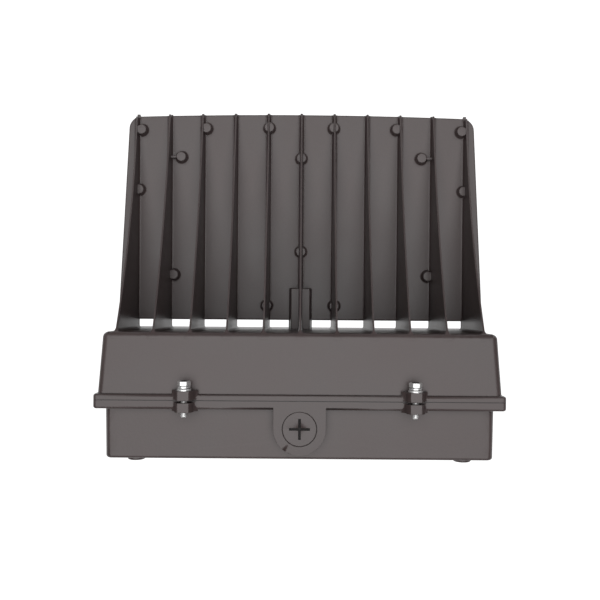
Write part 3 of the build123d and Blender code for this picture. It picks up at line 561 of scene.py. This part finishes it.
def thread(radius, depth, pitch, length, steps=20):
    """A right-hand V thread along +Z, cut flat at both ends."""
    mesh = bmesh.new()
    crest = radius - depth * 0.12
    points = ((radius - depth, 0), (crest, pitch * 0.44), (crest, pitch * 0.56), (radius - depth, pitch))
    verts = [mesh.verts.new((across, 0, height - 2 * pitch)) for across, height in points]
    edges = [mesh.edges.new(pair) for pair in zip(verts, verts[1:])]
    turns = math.ceil(length / pitch) + 3
    bmesh.ops.spin(mesh, geom=verts + edges, cent=(0, 0, 0), axis=(0, 0, 1), dvec=(0, 0, pitch / steps),
                   angle=2 * math.pi * turns, steps=steps * turns)
    bmesh.ops.remove_doubles(mesh, verts=mesh.verts, dist=1e-6)
    for height, sense in ((0, -1), (length, 1)):
        cut = bmesh.ops.bisect_plane(mesh, geom=mesh.verts[:] + mesh.edges[:] + mesh.faces[:], dist=1e-7,
                                     plane_co=(0, 0, height), plane_no=(0, 0, sense), clear_outer=True)
        rim = [item for item in cut["geom_cut"] if isinstance(item, bmesh.types.BMEdge)]
        bmesh.ops.contextual_create(mesh, geom=rim)
    bmesh.ops.recalc_face_normals(mesh, faces=mesh.faces)
    return mesh


OUTWARD = Matrix.Rotation(math.pi / 2, 4, "X")
WALLWARD = Matrix.Rotation(-math.pi / 2, 4, "X")
DOWNWARD = Matrix.Rotation(math.pi, 4, "X")
LEFTWARD = Matrix.Rotation(math.pi / 2, 4, "Y")
RIGHTWARD = Matrix.Rotation(-math.pi / 2, 4, "Y")

for side in ("left", "right"):
    body = "cover_bolt_" + side
    low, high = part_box(body)
    axis = (low + high) / 2
    steel = turned_steel("stainless_" + side, axis, (0.72, 0.72, 0.72), (0.90, 0.90, 0.89), 0.34)
    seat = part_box("cover_lock_washer_" + side)[0].y
    tip_length = 0.0007
    # hexagon head from the solid, its turned corners softened
    head = merged_copy(body)
    bmesh.ops.bisect_plane(head, geom=head.verts[:] + head.edges[:] + head.faces[:], dist=1e-7,
                           plane_co=(0, seat, 0), plane_no=(0, 1, 0), clear_outer=True)
    bmesh.ops.dissolve_limit(head, angle_limit=math.radians(1), verts=head.verts, edges=head.edges)
    bmesh.ops.holes_fill(head, edges=[edge for edge in head.edges if edge.is_boundary])
    sharp = [edge for edge in head.edges if len(edge.link_faces) == 2 and edge.calc_face_angle() > 0.4]
    bmesh.ops.bevel(head, geom=sharp, affect="EDGES", offset=0.00018, segments=2, profile=0.5, material=-1)
    # a low turned rise in the middle of the head, as a forged and faced bolt has
    face_rise = lathe([(0.0, 0.00012), (0.0034, 0.00012), (0.0037, 0.00002), (0.0037, -0.0004), (0.0, -0.0004)])
    shank = thread(0.00298, 0.00042, 0.001, high.y - tip_length - seat)
    tip = lathe([(0.0, -0.0009), (0.0027, -0.0009), (0.0027, 0.0), (0.0023, tip_length), (0.0, tip_length)])
    bolt = join(
        (head, Matrix.Identity(4)),
        (face_rise, Matrix.Translation((axis.x, low.y + 0.00012, axis.z)) @ OUTWARD),
        (shank, Matrix.Translation((axis.x, seat, axis.z)) @ WALLWARD),
        (tip, Matrix.Translation((axis.x, high.y - tip_length, axis.z)) @ WALLWARD),
    )
    finish_piece("cover_bolt_threaded_" + side, bolt, body, (steel,), (body,), 30)
    # spring washer: a square section wound just short of a full turn, its ends standing apart
    node = "cover_lock_washer_" + side
    low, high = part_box(node)
    rise = 0.0009
    thick = high.y - low.y - rise
    ring = bmesh.new()
    corners = [(0.0033, 0), (0.0033, thick), (0.0056, thick), (0.0056, 0)]
    verts = [ring.verts.new((across, 0, height)) for across, height in corners]
    edges = [ring.edges.new((verts[i], verts[(i + 1) % 4])) for i in range(4)]
    steps = 44
    bmesh.ops.spin(ring, geom=verts + edges, cent=(0, 0, 0), axis=(0, 0, 1), dvec=(0, 0, rise / steps),
                   angle=math.radians(351), steps=steps)
    bmesh.ops.holes_fill(ring, edges=[edge for edge in ring.edges if edge.is_boundary], sides=4)
    bmesh.ops.recalc_face_normals(ring, faces=ring.faces)
    sharp = [edge for edge in ring.edges if edge.calc_face_angle() > 0.6]
    bmesh.ops.bevel(ring, geom=sharp, affect="EDGES", offset=0.0002, segments=2, profile=0.5, material=-1)
    turn = Matrix.Rotation(math.radians(-85), 4, "Z")
    spring = join((ring, Matrix.Translation((axis.x, high.y, axis.z)) @ OUTWARD @ turn))
    finish_piece("spring_washer_" + side, spring, body, (steel,), (node,), 40)
    # plain washer, blanked: rounded on one face
    node = "cover_flat_washer_" + side
    low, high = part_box(node)
    thick = high.y - low.y
    washer = lathe([(0.0032, 0.0001), (0.0033, 0), (0.0060, 0), (0.0062, 0.0002), (0.0062, thick - 0.0006),
                    (0.00605, thick - 0.0002), (0.0057, thick), (0.0034, thick), (0.0032, thick - 0.0002),
                    (0.0032, 0.0001)], 48)
    plain = join((washer, Matrix.Translation((axis.x, high.y, axis.z)) @ OUTWARD))
    finish_piece("plain_washer_" + side, plain, body, (steel,), (node,), 40)

# ------------------------------------------------------------------ hinge pins
# Two stainless pins below the flange, each turned with a low domed head at one end and a chamfer at the
# other.  They are driven into the back box's knuckles, and the front housing turns on them.


def islands(mesh):
    """The separate solids of a bmesh, each as a list of its faces, in the order of their first face."""
    seen = set()
    found = []
    for seed in mesh.faces:
        if seed in seen:
            continue
        seen.add(seed)
        group = [seed]
        for face in group:
            for edge in face.edges:
                for near in edge.link_faces:
                    if near not in seen:
                        seen.add(near)
                        group.append(near)
        found.append(group)
    return found


def spans(node):
    """The lowest and highest corner of each separate solid in a CAD node, ordered by place."""
    mesh = merged_copy(node)
    boxes = []
    for group in islands(mesh):
        points = [vert.co for face in group for vert in face.verts]
        low = Vector([min(point[i] for point in points) for i in range(3)])
        high = Vector([max(point[i] for point in points) for i in range(3)])
        boxes.append((low, high))
    mesh.free()
    return sorted(boxes, key=lambda box: tuple(round(value, 5) for value in box[0] + box[1]))


pin_steel = turned_steel("stainless_pins", (0, 0, 0), (0.46, 0.46, 0.46), (0.66, 0.66, 0.65), 0.34)
pins = []
for low, high in spans("hinge_pins"):
    middle = (low + high) / 2
    length = high.x - low.x
    pin = lathe([(0.0, 0.0), (0.0019, 0.0), (0.00248, 0.0006), (0.00248, length - 0.0015),
                 (0.0036, length - 0.0015), (0.0037, length - 0.0013), (0.0037, length - 0.0008),
                 (0.0033, length - 0.0003),
                 (0.0022, length - 0.00005), (0.0, length)], 40)
    pins.append((pin, Matrix.Translation((low.x, middle.y, middle.z)) @ LEFTWARD))
finish_piece("hinge_pins_turned", join(*pins), "back_box", (pin_steel,), ("hinge_pins",))

# ------------------------------------------------------------------ small screws
# Pan-head machine screws with a pressed cross: stainless ones in the lens frame, zinc plated ones in the
# board, the tray and the components.  Within each set, no two crosses stop at the same angle.


def zinc_plate(name, dark, light, roughness):
    """Bright plated steel with cloudy passivation."""
    material, tree, shader = new_material(name)
    source = use_group(tree, soft_texture)
    tint(tree, shader, source.outputs["Skin"], dark, light)
    vary(tree, source.outputs["Cloud"], roughness - 0.08, roughness + 0.10, shader.inputs["Roughness"])
    add_bump(tree, shader, source.outputs["Pore"], 0.08, 0.0001)
    shader.inputs["Metallic"].default_value = 1.0
    return material


def driven_head(radius, height, bars, steps=28):
    """A pan head on +Z with a stub of shank; bars is 2 for a pressed cross and 1 for a slot."""
    head = lathe([
        (0.0, height), (0.40 * radius, 0.98 * height), (0.72 * radius, 0.86 * height),
        (0.92 * radius, 0.62 * height), (radius, 0.32 * height), (radius, 0.06 * height), (0.97 * radius, 0.0),
        (0.45 * radius, 0.0),
        (0.45 * radius, -0.8 * height), (0.0, -0.8 * height)], steps)
    for quarter in range(bars):
        bar = bmesh.new()
        bmesh.ops.create_cube(bar, size=1)
        for vert in bar.verts:
            if vert.co.z < 0:
                vert.co.x *= 0.55
                vert.co.y *= 0.75
        reach = 1.25 if bars == 2 else 2.2
        bmesh.ops.scale(bar, vec=(reach * radius, 0.24 * radius, 1.1 * height), verts=bar.verts)
        bmesh.ops.translate(bar, vec=(0, 0, 0.95 * height), verts=bar.verts)
        bmesh.ops.rotate(bar, cent=(0, 0, 0), verts=bar.verts,
                         matrix=Matrix.Rotation(quarter * math.pi / 2, 3, "Z"))
        head = cut_away(head, bar)
    return head


def repeat(source, matrices):
    """A bmesh of copies of another, each moved by a matrix; the source is used up."""
    pattern = bpy.data.meshes.new("pattern")
    source.to_mesh(pattern)
    source.free()
    copies = bmesh.new()
    for matrix in matrices:
        start = len(copies.verts)
        copies.from_mesh(pattern)
        copies.verts.ensure_lookup_table()
        bmesh.ops.transform(copies, matrix=matrix, verts=copies.verts[start:])
    bpy.data.meshes.remove(pattern)
    return copies


head_radius, head_height = 0.0032, 0.002
zinc = zinc_plate("zinc_plate", (0.50, 0.51, 0.53), (0.68, 0.68, 0.65), 0.30)
lens_steel = zinc_plate("stainless_small", (0.52, 0.52, 0.52), (0.70, 0.70, 0.69), 0.28)
for node, facing, material, slot in (
    ("lens_frame_screws", DOWNWARD, lens_steel, "stainless_steel"),
    ("board_screws", DOWNWARD, zinc, "zinc_screw"),
    ("tray_screws", WALLWARD, zinc, "zinc_screw"),
    ("component_screws", WALLWARD, zinc, "zinc_screw"),
):
    matrices = []
    for index, (low, high) in enumerate(spans(node)):
        place = (low + high) / 2
        if facing is DOWNWARD:
            place.z = low.z + head_height
        else:
            place.y = high.y - head_height
        turn = Matrix.Rotation(math.radians(37 * index + 11), 4, "Z")
        matrices.append(Matrix.Translation(place) @ facing @ turn)
    screws = repeat(driven_head(head_radius, head_height, 2), matrices)
    finish_piece(node + "_crossed", screws, "front_housing", (material,), (node,))

# ------------------------------------------------------------------ ground screw
# A green dyed, zinc plated hex screw with a sawn slot and a formed washer, driven into its boss on the
# back wall.
green_zinc = zinc_plate("green_zinc", (0.02, 0.20, 0.07), (0.05, 0.34, 0.14), 0.34)
low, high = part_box("ground_screw")
middle = (low + high) / 2
hexagon = bmesh.new()
bmesh.ops.create_circle(hexagon, cap_ends=True, segments=6, radius=0.0036)
prism = bmesh.ops.extrude_face_region(hexagon, geom=hexagon.faces[:])
bmesh.ops.translate(hexagon, vec=(0, 0, 0.0021), verts=[item for item in prism["geom"]
                                                       if isinstance(item, bmesh.types.BMVert)])
bmesh.ops.bevel(hexagon, geom=hexagon.edges[:], affect="EDGES", offset=0.0003, segments=2,
                profile=0.5, material=-1)
hexagon = cut_away(hexagon, block(0.012, 0.001, 0.0022, (0, 0, 0.0023)))
formed_washer = lathe([(0.0, 0.0), (0.0041, 0.0), (0.0042, 0.0003), (0.0040, 0.0008), (0.0, 0.0009)])
ground_shank = thread(0.00198, 0.0003, 0.0008, high.y - low.y - 0.0035)
ground_seat = low.y + 0.003
ground = join(
    (hexagon, Matrix.Translation((middle.x, ground_seat - 0.0008, middle.z)) @ OUTWARD),
    (formed_washer, Matrix.Translation((middle.x, ground_seat, middle.z)) @ OUTWARD),
    (ground_shank, Matrix.Translation((middle.x, ground_seat, middle.z)) @ WALLWARD),
)
finish_piece("ground_screw_slotted", ground, "back_box", (green_zinc,), ("ground_screw",))

# ------------------------------------------------------------------ LED board
# A metal-core board under white solder mask.  The copper pours show through as slightly raised rows with
# narrow gaps between the packages, and the sawn aluminium edge is bare.


def board_mask():
    """White solder mask over rows of copper pours, laid out on the packages' pitch."""
    material, tree, shader = new_material("white_solder_mask")
    boxes = spans("led_packages")
    xs = sorted({round((low.x + high.x) / 2, 4) for low, high in boxes})
    ys = sorted({round((low.y + high.y) / 2, 4) for low, high in boxes})
    # the rows are counted from some pitches before the first package, which keeps the place positive
    lead_in = 8
    place = tree.nodes.new("ShaderNodeTexCoord")
    split = tree.nodes.new("ShaderNodeSeparateXYZ")
    tree.links.new(place.outputs["Object"], split.inputs["Vector"])
    masks = []
    for name, start, step, shift, gap in (
        ("X", xs[0], xs[1] - xs[0], 0.0, 0.0005),
        ("Y", ys[0], ys[1] - ys[0], 0.5, 0.0042),
    ):
        offset = compute(tree, "SUBTRACT", split.outputs[name], start - (shift + lead_in) * step)
        masks.append(compute(tree, "GREATER_THAN", compute(tree, "PINGPONG", offset, step / 2), gap))
    both = compute(tree, "MULTIPLY", *masks)
    tint(tree, shader, both, (0.60, 0.62, 0.60), (0.78, 0.79, 0.77), 0.0, 1.0)
    add_bump(tree, shader, both, 0.5, 0.00006)
    shader.inputs["Roughness"].default_value = 0.32
    return material


def sawn_metal(name, dark, light, roughness, stretch):
    """Bare rolled or sawn aluminium with fine lines along one direction."""
    material, tree, shader = new_material(name)
    lines = texture_group(name + "_lines", {"Line": (60.0, 3.0, stretch), "Cloud": (30.0, 3.0, (1, 1, 1))})
    source = use_group(tree, lines)
    tint(tree, shader, source.outputs["Line"], dark, light)
    vary(tree, source.outputs["Cloud"], roughness - 0.06, roughness + 0.08, shader.inputs["Roughness"])
    add_bump(tree, shader, source.outputs["Line"], 0.15, 0.00008)
    shader.inputs["Metallic"].default_value = 1.0
    return material


board = merged_copy("led_board")
for face in board.faces:
    face.material_index = int(face.normal.z > -0.5)
board_metal = sawn_metal("board_aluminium", (0.55, 0.56, 0.57), (0.70, 0.71, 0.71), 0.40, (1, 1, 40))
finish_piece("led_board_masked", board, "front_housing", (board_mask(), board_metal),
             ("led_board",))

# ------------------------------------------------------------------ LED packages and board connector
# Ceramic packages, each with a phosphor-coated dome of clear silicone, and the white push-in connector
# that takes the two leads from the driver.
ceramic = moulded("package_ceramic", (0.66, 0.67, 0.66), (0.74, 0.75, 0.74), 0.45, "Skin", 0.1, 0.00005)
phosphor, phosphor_tree, phosphor_shader = new_material("led_phosphor")
grain = use_group(phosphor_tree, soft_texture)
tint(phosphor_tree, phosphor_shader, grain.outputs["Pore"], (0.74, 0.52, 0.06), (0.86, 0.66, 0.12))
phosphor_shader.inputs["Roughness"].default_value = 0.35
phosphor_shader.inputs["Coat Weight"].default_value = 1.0
phosphor_shader.inputs["Coat Roughness"].default_value = 0.05
package = block(0.0035, 0.0035, 0.0006, (0, 0, 0.0003))
dome = lathe([(0.00145, 0.0006), (0.00132, 0.0009), (0.00085, 0.00113), (0.0, 0.0012)], 12)
for face in dome.faces:
    face.material_index = 1
package = join((package, Matrix.Identity(4)), (dome, Matrix.Identity(4)))
seats = []
for low, high in spans("led_packages"):
    middle = (low + high) / 2
    seats.append(Matrix.Translation((middle.x, middle.y, high.z)) @ DOWNWARD)
finish_piece("led_packages_domed", repeat(package, seats), "front_housing", (ceramic, phosphor),
             ("led_packages",))

connector_white = moulded("connector_white", (0.70, 0.70, 0.68), (0.78, 0.78, 0.76), 0.40, "Skin", 0.15, 0.0001)
board_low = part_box("led_board")[0].z
connector = block(0.0096, 0.0088, 0.0036, (0, 0, 0), 0.0004, 2)
for across in (-0.0017, 0.0017):
    funnel = lathe([(0.0, -0.001), (0.00135, -0.001), (0.0016, 0.003), (0.0, 0.003)], 16)
    funnel_at = Matrix.Translation((across, 0.0024, -0.0001)) @ WALLWARD
    bmesh.ops.transform(funnel, matrix=funnel_at, verts=funnel.verts)
    connector = cut_away(connector, funnel)
leads_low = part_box("led_leads")[0]
connector_at = Matrix.Translation((0, leads_low.y - 0.0020, board_low - 0.0018))
finish_piece("board_connector", join((connector, connector_at)), "front_housing",
             (connector_white,))

# ------------------------------------------------------------------ reflector
# A thin formed frame that slopes from the board out to the window, finished in white semi-gloss enamel with
# a slight skin.
enamel = moulded("reflector_enamel", (0.76, 0.76, 0.75), (0.82, 0.82, 0.81), 0.30, "Skin", 0.12, 0.0001)
dress("reflector", enamel)

# ------------------------------------------------------------------ lens glass
# Clear tempered float glass in its gasket, faintly green through its edge, with a trace of dust that dulls
# it unevenly.
glass, glass_tree, glass_shader = new_material("tempered_glass")
dust = use_group(glass_tree, soft_texture)
tint(glass_tree, glass_shader, dust.outputs["Cloud"], (0.93, 0.98, 0.96), (0.96, 0.99, 0.98), 0.0, 1.0)
vary(glass_tree, dust.outputs["Cloud"], 0.01, 0.05, glass_shader.inputs["Roughness"])
glass_shader.inputs["Transmission Weight"].default_value = 1.0
glass_shader.inputs["IOR"].default_value = 1.5
# light from the lamps passes the pane, as it does the real one
rays = glass_tree.nodes.new("ShaderNodeLightPath")
passing = compute(glass_tree, "MULTIPLY_ADD", rays.outputs["Is Shadow Ray"], -0.9, 1.0)
glass_tree.links.new(passing, glass_shader.inputs["Alpha"])
dress("lens_glass", glass)

# ------------------------------------------------------------------ driver tray
# Bent galvanised sheet, screwed into the front housing: the zinc has frozen in flat crystals of slightly
# different grey.
spangle, spangle_tree, spangle_shader = new_material("galvanised_spangle")
spangle_place = spangle_tree.nodes.new("ShaderNodeTexCoord")
crystal = spangle_tree.nodes.new("ShaderNodeTexVoronoi")
crystal.inputs["Scale"].default_value = 150.0
crystal.inputs["Randomness"].default_value = 1.0
grey = spangle_tree.nodes.new("ShaderNodeSeparateColor")
spangle_tree.links.new(spangle_place.outputs["Object"], crystal.inputs["Vector"])
spangle_tree.links.new(crystal.outputs["Color"], grey.inputs["Color"])
tint(spangle_tree, spangle_shader, grey.outputs["Red"], (0.50, 0.52, 0.54), (0.68, 0.69, 0.70), 0.0, 1.0)
vary(spangle_tree, grey.outputs["Green"], 0.34, 0.50, spangle_shader.inputs["Roughness"])
add_bump(spangle_tree, spangle_shader, crystal.outputs["Distance"], 0.10, 0.0002)
spangle_shader.inputs["Metallic"].default_value = 1.0
dress("driver_tray", spangle)

# ------------------------------------------------------------------ LED driver and its wire grommets
# A potted driver in a white-lacquered metal can.  A dark hairline marks where its lid is crimped on, and a
# rubber grommet holds each wire where it leaves an end.
lacquer, lacquer_tree, lacquer_shader = new_material("driver_lacquer")
lacquer_texture = use_group(lacquer_tree, soft_texture)
lid_line = use_group(lacquer_tree, joint_line)
LID_DEPTH = 0.0042
lid_line.inputs["Place"].default_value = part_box("led_driver")[1].y - LID_DEPTH
lid_line.inputs["Half Width"].default_value = 0.0003
can_colour = ramp_between(
    lacquer_tree, lacquer_texture.outputs["Cloud"], (0.66, 0.66, 0.65), (0.72, 0.72, 0.71), 0.3, 0.7)
lid_colour = overlay(lacquer_tree, lid_line.outputs["Mask"], can_colour, (0.10, 0.10, 0.10))
lacquer_tree.links.new(lid_colour, lacquer_shader.inputs["Base Color"])
vary(lacquer_tree, lacquer_texture.outputs["Cloud"], 0.32, 0.44, lacquer_shader.inputs["Roughness"])
add_bump(lacquer_tree, lacquer_shader, lacquer_texture.outputs["Skin"], 0.2, 0.0002)
dress("led_driver", lacquer)


def grommet():
    """A rubber bush round a wire, standing off a panel on +Z."""
    return lathe([(0.0011, -0.0003), (0.0024, -0.0003), (0.0024, 0.0007), (0.0020, 0.0011), (0.0017, 0.0026),
                  (0.0013, 0.0030), (0.0011, 0.0030), (0.0011, -0.0003)], 24)


WIRE_HALF = 0.0011
case_reach, case_height = 0.064, 0.020
grommets = []
for node, facing, face_x in (("line_leads", LEFTWARD, case_reach), ("led_leads", RIGHTWARD, -case_reach)):
    low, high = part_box(node)
    outs = [low.y + WIRE_HALF, high.y - WIRE_HALF]
    if node == "led_leads":
        outs = [high.y - WIRE_HALF - 0.0034, high.y - WIRE_HALF]
    if node == "line_leads":
        outs.insert(1, sum(outs) / 2)
    for y in outs:
        grommets.append((grommet(), Matrix.Translation((face_x, y, case_height)) @ facing))
low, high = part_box("surge_leads")
for y in (low.y + WIRE_HALF, high.y - WIRE_HALF):
    grommets.append((grommet(), Matrix.Translation((low.x, y, (low.z + high.z) / 2)) @ LEFTWARD))
finish_piece("wire_grommets", join(*grommets), "front_housing", (rubber,))

# ------------------------------------------------------------------ surge protector and terminal block
# The protector is a black moulded case.  The terminal block is cream polyamide with a slotted clamp screw
# down each well and low ribs between its poles.
surge_black = moulded("surge_black", (0.018, 0.018, 0.019), (0.032, 0.032, 0.034), 0.48, "Pore", 0.3, 0.0002)
dress("surge_protector", surge_black)
polyamide = moulded("terminal_polyamide", (0.66, 0.64, 0.56), (0.73, 0.71, 0.63), 0.42, "Pore", 0.2, 0.0002)
dress("terminal_block", polyamide)
low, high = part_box("terminal_block")
block_x = (low.x + high.x) / 2
block_z = high.z - 0.010
pole = 0.046 / 3
clamp_places = [(block_x + pole * (column - 1), block_z + 0.010 * (row - 0.5))
                for column in range(3) for row in range(2)]
clamps = repeat(driven_head(0.0023, 0.0016, 1, 20), [
    Matrix.Translation((x, high.y - 0.0038, z)) @ WALLWARD @ Matrix.Rotation(math.radians(50 * index), 4, "Z")
    for index, (x, z) in enumerate(clamp_places)])
finish_piece("terminal_clamps", clamps, "front_housing", (zinc,))
ribs = []
for edge in range(4):
    rib = block(0.0012, 0.0016, 0.0185, (0, 0, 0), 0.0003, 2)
    x = block_x + pole * (edge - 1.5) * (0.97 if edge in (0, 3) else 1)
    ribs.append((rib, Matrix.Translation((x, high.y + 0.0006, block_z))))
finish_piece("terminal_ribs", join(*ribs), "front_housing", (polyamide,))

# ------------------------------------------------------------------ insulated wires
# Stranded wire in glossy PVC: red and black to the LED board, black, white and green from the terminal
# block to the driver, and a white pair from the surge protector.


def insulation(name, dark, light):
    """Glossy extruded PVC."""
    return moulded("wire_" + name, dark, light, 0.34, "Skin", 0.12, 0.0001)


red = insulation("red", (0.42, 0.018, 0.014), (0.52, 0.030, 0.022))
black = insulation("black", (0.010, 0.010, 0.010), (0.020, 0.020, 0.020))
white = insulation("white", (0.66, 0.66, 0.63), (0.76, 0.76, 0.73))
green = insulation("green", (0.02, 0.20, 0.06), (0.04, 0.28, 0.09))
for node, colours, slot in (
    ("led_leads", (red, black), "red_black_wire"),
    ("line_leads", (black, white, green), "line_wire"),
    ("surge_leads", (white,), "surge_wire"),
):
    wires = merged_copy(node)
    groups = sorted(islands(wires), key=lambda group: min(vert.co.y for face in group for vert in face.verts))
    for index, group in enumerate(groups):
        for face in group:
            face.material_index = index % len(colours)
    finish_piece(node + "_coloured", wires, "front_housing", colours, (node,), 50)

# ------------------------------------------------------------------ studio: floor, light and camera
# A plain pale sweep well below the light, one broad soft lamp overhead and a faint even sky.  The camera
# stands where the photograph was taken from.
floor_mesh = bmesh.new()
bmesh.ops.create_grid(floor_mesh, x_segments=1, y_segments=1, size=14.0)
bmesh.ops.translate(floor_mesh, verts=floor_mesh.verts, vec=(0, 0, -1.1))
floor_data = bpy.data.meshes.new("floor")
floor_mesh.to_mesh(floor_data)
floor_mesh.free()
floor = bpy.data.objects.new("floor", floor_data)
bpy.context.scene.collection.objects.link(floor)
floor_material, floor_tree, floor_shader = new_material("pale_floor")
floor_shader.inputs["Base Color"].default_value = (0.30, 0.30, 0.30, 1)
floor_shader.inputs["Roughness"].default_value = 0.9
floor_shader.inputs["Emission Color"].default_value = (1, 1, 1, 1)
# the sweep is lit from behind: it looks white and shows white in bright metal, but throws little light back
floor_rays = floor_tree.nodes.new("ShaderNodeLightPath")
floor_glow = compute(floor_tree, "MULTIPLY_ADD", floor_rays.outputs["Is Diffuse Ray"], -0.88, 1.0)
floor_tree.links.new(floor_glow, floor_shader.inputs["Emission Strength"])
floor_data.materials.append(floor_material)
floor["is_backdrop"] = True

world = bpy.data.worlds.new("studio")
bpy.context.scene.world = world
world.use_nodes = True
sky = world.node_tree.nodes["Background"]
sky.inputs["Color"].default_value = (0.96, 0.96, 0.97, 1)
sky.inputs["Strength"].default_value = 0.10


def soft_light(name, place, aim, size, power, spread):
    """A rectangular area light at a place, turned to an aim point."""
    data = bpy.data.lights.new(name, "AREA")
    data.shape = "RECTANGLE"
    data.size, data.size_y = size
    data.energy = power
    data.spread = math.radians(spread)
    lamp = bpy.data.objects.new(name, data)
    lamp.location = place
    lamp.rotation_euler = (Vector(aim) - Vector(place)).to_track_quat("-Z", "Y").to_euler()
    bpy.context.scene.collection.objects.link(lamp)


soft_light("overhead", (0, -0.15, 1.9), (0, -0.15, 0), (2.7, 2.7), 50.0, 180)

# the camera looks straight down on the finned side, with the wall side at the foot of the picture
PHOTO_PIXELS = 600
FOCAL_PIXELS = 733.0
ROLL = math.radians(0.44)
camera_data = bpy.data.cameras.new("photo_camera")
camera_data.sensor_width = 36.0
camera_data.lens = FOCAL_PIXELS / PHOTO_PIXELS * camera_data.sensor_width
camera = bpy.data.objects.new("photo_camera", camera_data)
bpy.context.scene.collection.objects.link(camera)
right = Vector((-math.cos(ROLL), -math.sin(ROLL), 0))
up = Vector((math.sin(ROLL), -math.cos(ROLL), 0))
CAMERA_AT = (0.0004, -0.146, 0.712)
camera.matrix_world = Matrix.Translation(CAMERA_AT) @ Matrix(
    (right, up, right.cross(up))).transposed().to_4x4()
bpy.context.scene.camera = camera
bpy.context.scene.view_settings.view_transform = "Standard"

low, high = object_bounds()
